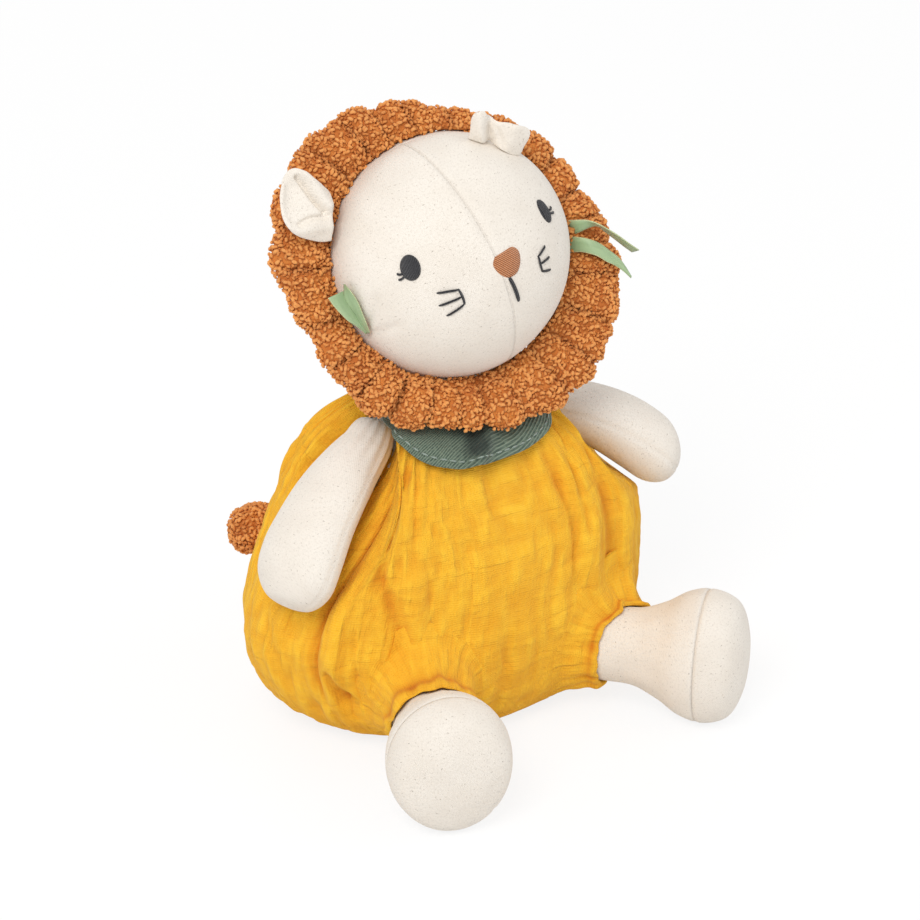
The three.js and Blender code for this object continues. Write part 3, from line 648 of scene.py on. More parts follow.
def tube(name, path, radius, sides, material, flatness=1.0, up=(0, 0, 1.0)):
    """A tube of few faces along a path. Radius is a number or one for each point."""
    radius = np.broadcast_to(radius, len(path))
    ahead = np.gradient(path, axis=0)
    ahead /= np.linalg.norm(ahead, axis=1, keepdims=True)
    side = np.cross(ahead, np.broadcast_to(up, path.shape).astype(float))
    side /= np.maximum(np.linalg.norm(side, axis=1, keepdims=True), 1e-9)
    above = np.cross(side, ahead)
    angle = np.arange(sides) / sides * TURN
    ring = side[:, None] * np.cos(angle)[None, :, None] + flatness * above[:, None] * np.sin(angle)[None, :, None]
    grid = path[:, None] + radius[:, None, None] * ring
    grid = np.concatenate([np.repeat(path[:1, None], sides, 1), grid, np.repeat(path[-1:, None], sides, 1)])
    return wrapped(name, grid, material)


# A curl is a short fat comma that stands on the cloth
loop = np.linspace(0, 2.6, 5)
CURL_SHAPE = tube(
    "curl", np.stack([np.cos(loop) * 0.7 - 0.2, loop * 0.2 - 0.2, np.sin(loop) * 0.9 + 0.1], -1),
    np.array([.42, .56, .58, .5, .26]), 5, CURL,
)
STITCH_SHAPE = tube(
    "stitch", np.stack([np.linspace(-1.2, 1.2, 5), np.zeros(5), np.array([-.18, .08, .16, .08, -.18])], -1),
    np.array([.16, .32, .36, .32, .16]), 5, STITCH, 0.6,
)
for shape in (CURL_SHAPE, STITCH_SHAPE):
    shape.hide_render = True
CURLS = curls_tree()
STITCHES = stitches_tree()


# Frames of the head and the limbs
def turned(axis, degrees):
    return Matrix.Rotation(math.radians(degrees), 4, axis)


IN_HEAD = Matrix.Translation(HEAD_CENTRE) @ turned("Z", -5) @ turned("X", -15) @ turned("Y", -16)
IN_MANE = IN_HEAD @ (Matrix.Translation((0, -4.0, -3.5)) @ turned("X", -11))


def arm_frame(side):
    splay, reach = (57.5, 16) if side > 0 else (46, 17)
    return Matrix.Translation(ARM_AT * (side, 1, 1)) @ turned("Y", -side * splay) @ turned("X", -reach)


def leg_frame(side):
    return Matrix.Translation(LEG_AT * (side, 1, 1)) @ turned("Z", side * (42 if side > 0 else 20))


def on_head(azimuth, elevation, height):
    point = np.stack([np.sin(azimuth) * np.cos(elevation), -np.cos(azimuth) * np.cos(elevation),
                      np.sin(elevation) + 0 * azimuth], -1)
    out = point / HEAD_HALF
    out /= np.linalg.norm(out, axis=-1, keepdims=True)
    return point * HEAD_HALF + out * np.asarray(height)[..., None]


def on_face(flat, azimuth, elevation, height):
    """Points at flat places round a point of the face, whose azimuth and elevation are in degrees."""
    girth = HEAD_HALF[0] * math.cos(math.radians(elevation))
    return on_head(math.radians(azimuth) + flat[..., 0] / girth,
                   math.radians(elevation) + flat[..., 1] / HEAD_HALF[2], height)


# Head. The pinches on the cheek are spots in the picture and a depth
CHEEK_FOLDS = [
    ([(364, 330), (371, 313), (375, 300)], 0.9), ([(366, 334), (384, 331), (398, 326)], 0.6),
    ([(352, 304), (360, 318), (366, 334)], 0.7),
]


def make_head():
    """A stuffed ball, sewn down the middle of the face, with a soft pinch on one cheek."""
    angle, along = lattice(110, 180)
    azimuth, elevation = angle - math.pi, math.pi * (along - 0.5)
    line = hump(azimuth, 0.022)
    seam = line * ramp(elevation, 0.12, 0.3) + 0.6 * line * ramp(-elevation, 0.4, 0.55)
    soft = 0.25 * soft_noise(angle / TURN, along, 12, 8, 3)
    lift = soft - 0.75 * seam + 0.22 * hump(np.abs(azimuth) - 0.07, 0.05) * ramp(elevation, 0.1, 0.3)
    flat = in_picture(moved(on_head(azimuth, elevation, 0 * lift), IN_HEAD))
    for spots, depth in CHEEK_FOLDS:
        lift = lift - drawn_fold(flat, spots, depth, 1.5) * (np.cos(azimuth) > 0)
    grid = on_head(azimuth, elevation, lift - 0.1)
    girth = azimuth[0][None, :] * np.cos(elevation) * HEAD_HALF[0]
    last = math.pi * np.cos(elevation[:, :1]) * HEAD_HALF[0]
    flat = np.stack([np.hstack([girth, last]), np.hstack([elevation, elevation[:, :1]]) * HEAD_HALF[2]], -1)
    head = wrapped("head", moved(grid, IN_HEAD), FACE_LINEN, flat)
    dressed(head, "head_body", "linen", "head_cover", "head_filling")


# Embroidery. Places on the face are turns in degrees, to the lion's left and up, and sizes are in millimetres
EYE_TURN, EYE_HEIGHT, EYE_DOME = 38, 4.3, 0.95
LASHES = [[(2.4, -1.0), (4.0, -1.1), (5.1, -0.6)], [(2.4, -2.0), (4.0, -2.7), (5.1, -2.6)]]
WHISKER_TURN = 21
WHISKER_ROOT = [(0, 3.0), (-0.3, 0), (0, -3.0)]
WHISKER_RISE = (2.7, 3.6, 4.3)
# Side, hand, half width and level of the eye, reach and level of the whiskers
CHEEKS = ((1, "left", 2.5, 9.3, 5.4, -9.5), (-1, "right", 3.5, 16.2, 8, -4.8))
NOSE, NOSE_AT, NOSE_DOME, NOSE_STITCH = (5.3, 4.5), (4.4, -0.6), 1.0, (0.8, 0.6)
NOSE_SHARES = [(-.7, .97), (0, 1), (.7, .97), (1, .5), (.84, -.3), (.35, -.92), (-.35, -.92), (-.84, -.3), (-1, .5),
               (-.7, .97)]
MOUTH_TURN = 4
MOUTH = [(-1.2, -4.3), (-0.5, -9.3), (0, -14.5)]
LASH_WIDTH, WHISKER_WIDTH, MOUTH_WIDTH = 0.8, 0.85, 1.45
THREAD_LIFT, THREAD_DIVE = 0.25, 0.55


def domed(name, outline, azimuth, elevation, dome, material, stitch):
    """A satin-stitched patch, highest in its middle, that lies on the head round a point of the face."""
    middle = outline.mean(0)
    rings = np.sin(np.linspace(0, math.pi / 2, 9))
    flat = middle + rings[:, None, None] * (outline - middle)[None]
    level = np.append(dome * np.sqrt(np.clip(1 - rings ** 2, 0, 1)) ** 0.7 - 0.15, -0.5)
    flat = np.concatenate([flat, flat[-1:]])
    grid = on_face(flat, azimuth, elevation, np.broadcast_to(level[:, None], flat.shape[:2]))
    across = flat[..., 0] * stitch[0] + flat[..., 1] * stitch[1]
    cloth = np.stack([across, flat[..., 1] * stitch[0] - flat[..., 0] * stitch[1]], -1)
    cloth = np.concatenate([cloth, cloth[:, :1]], 1)
    piece = wrapped(name, moved(grid, IN_HEAD), material, cloth, poles=False)
    tidied(piece.data, 1e-7, fill=True)
    return piece


def thread_run(points, azimuth, elevation, width):
    """A run of dark thread over the head, through flat points round a place of the face."""
    path = Curve([(x, y, 0) for x, y in points]).at(np.linspace(0, 1, 14))
    ends = np.abs(np.linspace(-1, 1, 14))
    line = on_face(path, azimuth, elevation, THREAD_LIFT - THREAD_DIVE * ends ** 6)
    out = line / HEAD_HALF ** 2
    out /= np.linalg.norm(out, axis=1, keepdims=True)
    run = tube("run", line, width / 2 * (1 - 0.35 * ends ** 4), 8, THREAD, 0.7, out)
    run.data.transform(Matrix.Translation(Vector(HEAD_CENTRE) * MM) @ IN_HEAD.to_3x3().to_4x4())
    return run


def make_face():
    """Eyes with two lashes, a nose, a mouth and three whiskers on each cheek."""
    around = np.linspace(0, TURN, 48, endpoint=False)
    for side, hand, wide, level, reach, low in CHEEKS:
        oval = np.stack([wide * np.cos(around), EYE_HEIGHT * np.sin(around)], -1)
        sewn = [domed("ball", oval, side * EYE_TURN, level, EYE_DOME, THREAD, (1, 0))]
        for lash in LASHES:
            sewn.append(thread_run([(side * x, y) for x, y in lash], side * EYE_TURN, level, LASH_WIDTH))
        dressed(joined(f"eye_{hand}_stitches", sewn), "head_body", "thread", f"eye_{hand}")
        runs = [[(side * x, y) for x, y in WHISKER_ROOT]]
        for spread in (1, 0, -1):
            far = side * reach * (1 - 0.12 * abs(spread))
            runs.append([(x, spread * y) for x, y in zip((0, far / 2, far), WHISKER_RISE)])
        sewn = [thread_run(points, side * WHISKER_TURN, low, WHISKER_WIDTH) for points in runs]
        dressed(joined(f"whiskers_{hand}_stitches", sewn), "head_body", "thread", f"whiskers_{hand}")
    outline = Curve([(x * NOSE[0], y * NOSE[1], 0) for x, y in NOSE_SHARES]).at(np.linspace(0, 1, 49)[:-1])[:, :2]
    nose = domed("nose_stitches", outline, *NOSE_AT, NOSE_DOME, COPPER, NOSE_STITCH)
    dressed(nose, "head_body", "nose_thread", "nose")
    mouth = thread_run(MOUTH, MOUTH_TURN, 0, MOUTH_WIDTH)
    mouth.name = mouth.data.name = "mouth_stitches"
    dressed(mouth, "head_body", "thread", "mouth")


# Mane and tuft
def copy_of(node, name, voxel, smooth):
    """A fresh, even mesh in the shape of one of the solids."""
    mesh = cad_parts[node].data.copy()
    tidied(mesh, 1e-6)
    piece = in_scene(name, mesh)
    with_modifier(piece, "REMESH", mode="VOXEL", voxel_size=voxel * MM)
    with_modifier(piece, "SMOOTH", factor=0.5, iterations=smooth)
    applied(piece)
    piece.data.materials.clear()
    return piece


def read_points(mesh, what):
    flat = np.zeros(3 * len(mesh.vertices))
    mesh.vertices.foreach_get(what, flat)
    return flat.reshape(-1, 3)


def points_of(mesh):
    return read_points(mesh, "co") / MM


def outward_of(mesh):
    return read_points(mesh, "normal")


def set_points(mesh, points):
    mesh.vertices.foreach_set("co", (points * MM).ravel())
    mesh.update()


def part_of(mesh, chosen):
    """A copy of a mesh with only the chosen faces."""
    made = bpy.data.meshes.new("part")
    with opened(made, mesh) as bm:
        bmesh.ops.delete(bm, geom=[f for f, c in zip(bm.faces, chosen) if not c], context="FACES")
    return made


def from_ball(points):
    """Distance from the middle of the head, where 1 is its cover."""
    return np.linalg.norm(moved(points, IN_HEAD.inverted()) / HEAD_HALF, axis=1)


PLEATS = 13
PLEAT_DEPTH, PLEAT_DEEPER = 3.6, 1.6  # the second is added towards the face
CURL_HEIGHT = 0.5
FACE_TUCK = 3.4
MANE_REACH = 70
BARE = 1.02  # no curls grow closer to the middle of the head than this
# Spacing in millimetres, smallest and largest size, and seed
MANE_CURLS, TUFT_CURLS = (0.92, 0.55, 1.15, 4), (1.0, 0.65, 1.2, 9)


def make_mane():
    """A gathered ring of curly pile, pleated where it is sewn to the head."""
    base = copy_of("mane", "mane_backing", voxel=1.5, smooth=3)
    points, out = points_of(base.data), outward_of(base.data)
    local = moved(points, IN_MANE.inverted())
    clock, radius = np.arctan2(local[:, 0], local[:, 2]), np.hypot(local[:, 0], local[:, 2])
    share, reach = clock / TURN, radius / MANE_REACH
    pleats = np.sin(PLEATS * (clock + 0.06 * np.sin(3 * clock + 1) + 0.03 * np.sin(7 * clock)))
    drawn = np.clip(0.62 + 0.6 * soft_noise(share, 0.5 + 0 * clock, PLEATS, 3, 17), 0.3, 1)
    front = ramp(-local[:, 1], -3, 3)
    crease = drawn * hump(pleats, 0.34) * front
    # painted shade in the pleats, less towards the outer rim
    dark = 0.85 * drawn * hump(pleats, 0.24) * front * (1 - 0.6 * ramp(radius, 52, 64))
    carry(base.data, "crease", dark * (0.55 + 0.45 * soft_noise(share, reach, PLEATS, 3, 17)))
    away = from_ball(points)
    lump = 0.6 * soft_noise(share, reach, 2 * PLEATS, 5, 12)
    lift = ramp(away, 1.03, 1.14) * (lump - CURL_HEIGHT - crease * (PLEAT_DEPTH + PLEAT_DEEPER * ramp(radius, 66, 46)))
    tuck = FACE_TUCK * (1 - ramp(away, 1.04, 1.2)) * ramp(-local[:, 1], -2, 2) * ramp(-local[:, 0], -20, 20)
    back = np.array(IN_MANE)[:3, 1]
    set_points(base.data, points + out * lift[:, None] + back * tuck[:, None])
    base.data.materials.append(BACKING)
    centres = np.array([f.center[:] for f in base.data.polygons]) / MM
    local, covered = moved(centres, IN_MANE.inverted()), from_ball(centres) >= BARE
    for way, there in (("front", local[:, 1] < 0), ("back", local[:, 1] >= 0)):
        for level, high in (("upper", local[:, 2] > 0), ("lower", local[:, 2] <= 0)):
            ground = part_of(base.data, covered & there & high)
            curled(f"mane_{way}_{level}_curls", ground, "head_body", *MANE_CURLS)
    dressed(base, "head_body", "curl", "mane")


def make_tuft():
    base = copy_of("tail_tuft", "tuft_backing", voxel=1.2, smooth=3)
    set_points(base.data, points_of(base.data) - outward_of(base.data))
    base.data.materials.append(BACKING)
    curled("tuft_curls", base.data.copy(), "tail_body", *TUFT_CURLS)
    dressed(base, "tail_body", "curl", "tail_tuft")


# Ears and ribbon ends. Each spot is a place in the picture and a level in front of the mane's middle
def traced(spots, share):
    at = Curve(spots).at(share)
    return at_level(at[:, :2], at[:, 2], IN_MANE)


def drawn_fold(flat, spots, depth, width):
    """How deep a fold lies at places of the picture, under a line of spots."""
    line = Curve([(x, y, 0) for x, y in spots]).at(np.linspace(0, 1, 50))[:, :2]
    distance = np.linalg.norm(flat[..., None, :] - line, axis=-1).min(-1) / VIEW_SCALE
    return depth * hump(distance, width)


def make_ear(hand, rim, pinch, folds):
    """A soft leaf of two layers of linen, pinched at its root and folded."""
    columns = 120
    edge = traced(rim + rim[:1], np.arange(columns) / columns)
    root = at_level(np.array([pinch[:2]]), np.array([pinch[2]]), IN_MANE)[0]
    spokes = edge - root
    ahead = np.cross(spokes, np.roll(spokes, -1, 0)).sum(0)
    ahead *= -np.sign(ahead[1]) / np.linalg.norm(ahead)
    reach = np.sin(np.linspace(0, math.pi / 2, 34))
    base = root + reach[:, None, None] * spokes[None]
    flat = in_picture(moved(base, IN_MANE))
    lift = 0.15 * np.sin(flat[..., 0] * 0.21) * np.sin(flat[..., 1] * 0.17) - sum(drawn_fold(flat, *f) for f in folds)
    swell = EAR_THICK * 0.75 * np.sqrt(np.clip(1 - reach ** 6, 0, 1))[:, None]
    front, back = (base + ahead * (lift + sign * swell)[..., None] for sign in (1, -1))
    cloth = np.stack([(base - root) @ np.cross(ahead, (0, 0, 1.0)), (base - root)[..., 2]], -1)
    cloth = np.concatenate([cloth, cloth[::-1][1:]])
    cloth = np.concatenate([cloth, cloth[:, :1]], 1)
    grid = moved(np.concatenate([front, back[::-1][1:]]), IN_MANE)
    ear = wrapped(f"ear_{hand}_leaf", grid, LINEN, cloth)
    dressed(ear, f"ear_{hand}_body", "linen", f"ear_{hand}")


def make_ribbon(name, first, second):
    """A satin end between its two edges. It turns on edge where they come close."""
    share, across = np.linspace(0, 1, 34), np.linspace(0, 1, 9)
    one, two = traced(first, share), traced(second, share)
    grid = one[:, None] + (two - one)[:, None] * across[None, :, None]
    grid[..., 1] -= 0.35 * np.sin(math.pi * across)[None, :]
    length = np.linalg.norm(np.diff((one + two) / 2, axis=0), axis=1).sum()
    flat = cloth_places(RIBBON_WIDTH * (across - 0.5), share * length)
    ribbon = wrapped(name + "_satin", moved(grid, IN_MANE), SATIN, flat, closed=False, poles=False)
    dressed(thickened(ribbon, RIBBON_THICK, 0.0), "head_body", "ribbon", name)


EARS = {
    "left": (
        [(468, 138, 15), (480, 139, 15.5), (495, 144, 16), (507, 149, 16.5), (519, 154, 16), (524, 146, 18),
         (529, 137, 20), (530, 131, 21), (526, 126, 21.5), (517, 122, 22), (508, 121, 22), (499, 122, 22),
         (493, 121, 22), (488, 116, 22), (484, 110, 22), (479, 109, 22), (474, 112, 21.5), (471, 119, 20),
         (470, 130, 17.5)],
        (492, 139, 17),
        [([(492, 118), (490, 128), (490, 140)], 2.6, 1.7), ([(479, 111), (479, 124), (482, 137)], -1.8, 2.4),
         ([(516, 124), (510, 134), (505, 147)], -2.0, 4.2), ([(497, 128), (501, 139)], 0.7, 1.0)],
    ),
    "right": (
        [(331, 241, 7), (332, 228, 8), (332, 213, 8.5), (331, 200, 8), (328, 191, 8), (321, 185, 9), (312, 178, 10.5),
         (303, 171, 11.5), (295, 168, 12), (288, 171, 12), (283, 181, 12), (280, 195, 12), (281, 208, 12),
         (284, 221, 12), (289, 230, 11.5), (297, 236, 10.5), (310, 240, 9), (322, 242, 7.5)],
        (322, 213, 9.5),
        [([(297, 177), (303, 185), (311, 198), (323, 212)], 2.6, 0.9),
         ([(304, 174), (315, 187), (326, 205)], -2.0, 2.3),
         ([(291, 190), (291, 212)], 1.6, 5.0), ([(299, 225), (309, 219), (326, 216)], 1.4, 1.0),
         ([(297, 231), (312, 229), (328, 227)], -1.0, 2.2), ([(282, 186), (282, 210), (289, 229)], -0.9, 1.4)],
    ),
}
RIBBONS = {
    "ribbon_left_upper": (
        [(560, 221, 1), (574, 220, 8), (586, 220, 11), (596, 223, 13), (606, 228, 13), (619, 236, 12.5), (630, 244, 12),
         (639, 250, 11)],
        [(568, 237, 1), (580, 232, 7.5), (588, 228, 9), (597, 226, 8.5), (604, 231, 8), (616, 240, 8), (625, 247, 8),
         (632, 252, 7.5)],
    ),
    "ribbon_left_lower": (
        [(564, 236, 1), (579, 237, 8), (589, 239, 10), (599, 243, 10), (609, 250, 10), (619, 258, 10), (625, 266, 10),
         (631, 276, 10)],
        [(564, 253, 1), (582, 252, 8), (591, 254, 10), (599, 257, 10.5), (607, 262, 10.5), (614, 265, 10),
         (623, 271, 10), (631, 278, 10)],
    ),
    "ribbon_right_upper": (
        [(344, 284, 9), (344, 292, 9), (345, 299, 9), (350, 307, 9), (355, 314, 8.5), (360, 323, 8), (366, 333, 6)],
        [(345, 285, 10), (349, 289, 12), (353, 294, 12.5), (358, 302, 12.5), (362, 312, 12), (366, 322, 11),
         (370, 333, 8)],
    ),
    "ribbon_right_lower": (
        [(328, 298, 9), (332, 304, 9), (337, 310, 9), (348, 321, 8.5), (356, 326, 8), (366, 334, 6)],
        [(343, 291, 9), (346, 298, 9), (350, 305, 9), (356, 315, 8.5), (361, 323, 8), (368, 331, 6)],
    ),
}


# Romper. Each of its broad folds has a direction and a width in half turns, a depth and a height to start at
ROMPER_CURVE = Curve(ROMPER_SHARES, ROMPER)
ARM_CURVE = Curve(ARM_SHARES, ARM)
LEG_CURVE = Curve(LEG_SHARES, LEG)
FOLDS = [
    (-.4, .045, 1, 0), (-.3, .04, .8, .05), (.15, .04, .9, .1), (-.1, .04, .35, .3), (.05, .04, .4, .3),
    (.35, .05, .7, 0), (.55, .04, .7, 0), (-.6, .04, .7, 0), (.8, .05, .6, .1), (-.85, .05, .6, .1), (.95, .04, .5, .2),
]
FOLD_DEPTH = 5
LEAN = 3  # to the lion's left, most at half height
ROMPER_ROUND, CUFF_ROUND = 420, 150
NECK_OPENING = 24
ARM_GAP, LEG_GAP = 1.9, 2.1
TAIL_HOLE = 5.9
CLOSER = 0.42  # how much closer the columns lie on the side that the camera sees
FAR = 99.0


def romper_point(angle, along):
    at = ROMPER_CURVE.at(np.clip(along, 0, 1))
    height = at[..., 2] / ROMPER[2]
    x, y = section(angle, at[..., 0], at[..., 1], 2.2 + 0.9 * hump(height - 0.85, 0.25))
    fold = 0
    for direction, width, depth, start in FOLDS:
        across = hump(turn_between(angle, math.pi * direction), math.pi * width)
        fold = fold + FOLD_DEPTH * depth * across * ramp(height, start, start + 0.15) * (1 - 0.7 * height)
    keep = 1 - fold / np.maximum(np.hypot(x, y), 15)
    lean = LEAN * ramp(height, 0.3, 0.75) * (1 - height) * 4
    return np.stack([x * keep + lean, y * keep, at[..., 2]], -1)


def from_limb(frame_of, side, swings, points):
    """Places of points in a limb's own frame, at each angle that it swings to."""
    for swing in swings:
        yield moved(points, (frame_of(side) @ Matrix.Rotation(-swing, 4, "X")).inverted())


def arm_bow(side, share):
    """How far the arm bows outwards at a share of its length."""
    return side * ARM_BOW * 4 * share * (1 - share)


def arm_push(points, side):
    """How far each point has to move inwards to be clear of the arm, wherever the arm swings."""
    push = np.zeros(points.shape[:-1])
    for local in from_limb(arm_frame, side, ARM_SWINGS, points):
        along = np.clip(-local[..., 2] + ARM_ROOT, 0, ARM[2])
        thick, wide = ARM_CURVE.by_height(along)
        share = np.clip((along - ARM_ROOT) / (ARM[2] - ARM_ROOT), 0, 1)
        across = np.abs(local[..., 1]) / (wide + ARM_GAP)
        inner = (thick + ARM_GAP) * np.sqrt(np.clip(1 - across ** 2, 0, 1))
        depth = side * (local[..., 0] - arm_bow(side, share)) + inner
        there = (across < 1) & (local[..., 2] < ARM_ROOT) & (-local[..., 2] < ARM[2] - ARM_ROOT + ARM_GAP)
        push = np.maximum(push, np.where(there, np.clip(depth, 0, 30), 0))
    return push


def leg_room(points, side):
    """Distance of each point outside the space in which the leg moves."""
    nearest = np.full(points.shape[:-1], FAR)
    for local in from_limb(leg_frame, side, LEG_SWINGS, points):
        along = np.clip(LEG_ROOT - local[..., 1], 0.5, LEG[2])
        wide, high = LEG_CURVE.by_height(along)
        away = (np.hypot(local[..., 0] / (wide + LEG_GAP), local[..., 2] / (high + LEG_GAP)) - 1) * (wide + LEG_GAP)
        nearest = np.minimum(nearest, np.where(local[..., 1] < LEG_ROOT, away, FAR))
    return nearest


def blurred(field, times):
    for _ in range(times):
        rows = np.pad(field, ((1, 1), (0, 0)), mode="edge")
        field = (field + 0.5 * (rows[:-2] + rows[2:]) + 0.5 * (np.roll(field, 1, 1) + np.roll(field, -1, 1))) / 3
    return field

# Folds that show from the camera: spots in the picture, a depth and a width. Ridges are below zero
SEEN_FOLDS = [
    ([(377, 447), (362, 495), (352, 541), (341, 575), (320, 612), (311, 655), (315, 695), (332, 722)], 5.4, 2.5),
    ([(415, 458), (402, 486), (387, 525), (378, 556)], 4.2, 2.4),
    ([(374, 548), (380, 582), (394, 614), (401, 646), (392, 676), (384, 692)], 4.0, 2.3),
    ([(400, 450), (387, 495), (370, 545), (349, 600), (333, 655), (338, 705)], -5.0, 5.0),
    ([(414, 560), (417, 610), (415, 650), (410, 680)], -2.4, 3.8),
    ([(322, 664), (336, 692), (350, 710), (357, 727)], 3.8, 1.9),
    ([(352, 684), (360, 700), (372, 714), (384, 712)], 3.4, 1.9),
    ([(384, 690), (402, 684), (428, 688)], 2.6, 1.6),
    ([(340, 700), (352, 706), (362, 704)], 2.0, 1.5),
    ([(604, 462), (611, 500), (615, 545), (614, 590), (609, 635), (600, 672)], 3.6, 3.4),
    ([(588, 480), (594, 540), (594, 600), (588, 645), (577, 684)], -2.6, 5.0),
    ([(545, 440), (562, 480), (572, 520), (580, 565), (584, 610)], 2.4, 1.3),
    ([(560, 428), (575, 465), (586, 505), (592, 545)], 2.4, 1.2),
    ([(582, 425), (594, 455), (602, 485)], 2.4, 1.2),
    ([(530, 500), (540, 540), (552, 580)], 1.0, 0.9),
    ([(420, 530), (460, 514), (500, 506), (530, 494)], 1.3, 0.9),
    ([(430, 470), (428, 540), (432, 610), (428, 660)], 0.8, 1.1),
    ([(465, 480), (470, 550), (466, 620), (470, 670)], 0.8, 1.2),
    ([(505, 462), (512, 540), (508, 620), (512, 690)], 0.8, 1.1),
    ([(500, 670), (530, 655), (565, 640)], 0.9, 1.1),
    ([(272, 560), (262, 610), (274, 660), (300, 700)], 2.2, 1.8),
    ([(300, 610), (284, 650), (296, 690)], 2.0, 1.7),
    ([(300, 425), (290, 455), (284, 480)], 1.6, 1.4),
]
def seen_fold(grid, out, spots, depth, width):
    """How deep a fold lies at each point of the cloth, where it shows at these spots of the picture."""
    flat, facing = in_picture(grid), out @ VIEW_BACK > FACING
    line = []
    for spot in spots:
        away = np.where(facing, np.linalg.norm(flat - spot, axis=-1), 1e6)
        line.append(grid[np.unravel_index(np.argmin(away), away.shape)])
    share = np.linspace(0, 1, 240)
    path = Curve(line).at(share)
    square = (grid ** 2).sum(-1)[..., None] + (path ** 2).sum(-1) - 2 * grid @ path.T
    ends = ramp(share, -0.02, 0.2) * ramp(1 - share, -0.02, 0.2)
    return depth * ends[square.argmin(-1)] * hump(np.sqrt(np.maximum(square.min(-1), 0)), width)


def crinkled(grid, angle, along, depth):
    """How far crinkles and ridges lift the gauze, and how much painted shade darkens its hollows."""
    height, share = grid[..., 2] / ROMPER[2], angle / TURN
    wave = share + 0.006 * soft_noise(share, along, 24, 9, 4)
    crinkle = 0.5 * soft_noise(wave, along, 88, 9, 5) + 0.45 * soft_noise(wave, along, 120, 34, 6)
    long, short = soft_noise(wave, along, 62, 7, 15), soft_noise(wave, along, 26, 30, 16)
    valley = -0.8 * hump(long, 0.3) - 0.4 * hump(short, 0.25)
    slow = 0.9 * soft_noise(share, along, 17, 5, 8)
    gathers = 0.55 * np.sin(52 * angle + 3 * soft_noise(share, along, 14, 3, 7)) * ramp(height, 0.6, 0.85)
    covered = 1 - 0.7 * ramp(height, 0.8, 0.92)
    plain = 1 - 0.85 * ramp(-depth, 0.6, 3)
    fine = ((crinkle + valley) * plain + slow) * covered * ramp(height, 0, 0.08)
    lift = fine + gathers * plain - np.minimum(depth, 0) - 0.5
    # the second value is painted shade: darker where the cloth lies below its neighbours and deep in a fold
    return lift, np.clip((blurred(lift, 12) - lift) / 1.2, 0, 1) * 0.5 + np.clip((depth - 1.2) / 4, 0, 1) * 0.75


def openings(grid):
    """Distances of each point from the arm, leg and tail openings, which are below zero inside."""
    holes = []
    for side in (1, -1):
        local = moved(grid, arm_frame(side).inverted())
        near = (local[..., 2] > -14) & (local[..., 2] < 20)
        holes.append(np.where(near, np.hypot(local[..., 0], local[..., 1]) - ARM_ROOT, FAR))
        near = np.linalg.norm(grid - LEG_AT * (side, 1, 1), axis=-1) < 34
        holes.append(np.where(near, leg_room(grid, side), FAR))
    exit_at = Curve(np.array(TAIL_SHARES) * TAIL_REACH + TAIL_ROOT).at(np.array(0.1))
    holes.append(np.linalg.norm(grid - exit_at, axis=-1) - TAIL_HOLE)
    return holes


def romper_cloth():
    """The outer side of the romper, its openings, how much painted shade darkens each point in the hollows of its
    folds, and its share of the turn.
    """
    angle, along = lattice(132, 350, 0, 1 - NECK_OPENING / ROMPER_CURVE.length)
    angle = angle - CLOSER * np.sin(angle - VIEW_TURN)
    grid = romper_point(angle, along)
    out = normals_of(grid)
    depth = sum(seen_fold(grid, out, *fold) for fold in SEEN_FOLDS)
    lift, hollow_shade = crinkled(grid, angle, along, depth)
    grid = grid + out * lift[..., None]
    holes = openings(grid)
    pushed = 0
    for side in (1, -1):
        push = arm_push(grid, side)
        smooth = push.copy()
        for _ in range(6):
            smooth = np.maximum(blurred(smooth, 3), push)
        grid = grid - smooth[..., None] * side * np.array(arm_frame(side))[:3, 0]
        pushed = pushed + smooth
    grid = grid - out * blurred(np.clip(depth, 0, 6), 3)[..., None]
    ease = np.clip(ramp(blurred(pushed, 4), 0.5, 3) + 0.7 * ramp(blurred(depth, 4), 1.5, 3.5), 0, 1)[..., None]
    even = np.stack([blurred(grid[..., k], 7) for k in range(3)], -1)
    grid = grid + (even - grid) * ease
    grid[..., 2] = np.maximum(grid[..., 2], 0.05)
    return grid, holes, np.clip(hollow_shade, 0, 0.95), angle / TURN


def trimmed(grid, away):
    """Draws the last points inside an opening out to its edge, and says which faces stay."""
    inside = away < 0
    beside = np.roll(inside, -1, 1)
    keep = ~(inside[:-1] & beside[:-1] & inside[1:] & beside[1:])
    best, target = np.zeros(away.shape), grid.copy()
    for shifts in (((1, 0), (-1, 0), (0, 1), (0, -1)), ((1, 1), (1, -1), (-1, 1), (-1, -1))):
        waiting = inside & (best == 0)
        for shift in shifts:
            value = np.roll(away, shift, (0, 1))
            better = waiting & (value > best) & (value < 50)
            best = np.where(better, value, best)
            target = np.where(better[..., None], np.roll(grid, shift, (0, 1)), target)
    share = np.clip(-away / np.maximum(best - away, 1e-6), 0, 1) * (best > 0)
    return np.where(inside[..., None], grid + (target - grid) * share[..., None], grid), keep


def softened(rows, times):
    """Cuts the corners of a run of rows of points, and keeps its ends."""
    for _ in range(times):
        cut = np.stack([0.75 * rows[:-1] + 0.25 * rows[1:], 0.25 * rows[:-1] + 0.75 * rows[1:]], 1)
        cut = cut.reshape(-1, *rows.shape[1:])
        rows = np.concatenate([rows[:1], cut[1:-1], rows[-1:]])
    return rows


# Rings of a cuff inside the romper: how far from the leg's opening they lie, and how far they lift from the cloth
CUFF_ROOT = ((9.0, -1.0), (6.0, 0.25), (2.5, 0.9))
# Rings down to its hem: their share of the way, how far off the leg, and how far back from the hem
CUFF_FALL = ((0.3, None, 0), (0.62, 1.3, 0), (0.86, 2.2, 0), (1, 1.3, 0), (1, 0.1, 0.3), (1, -0.6, 5))
CUFF_GAP = 0.4


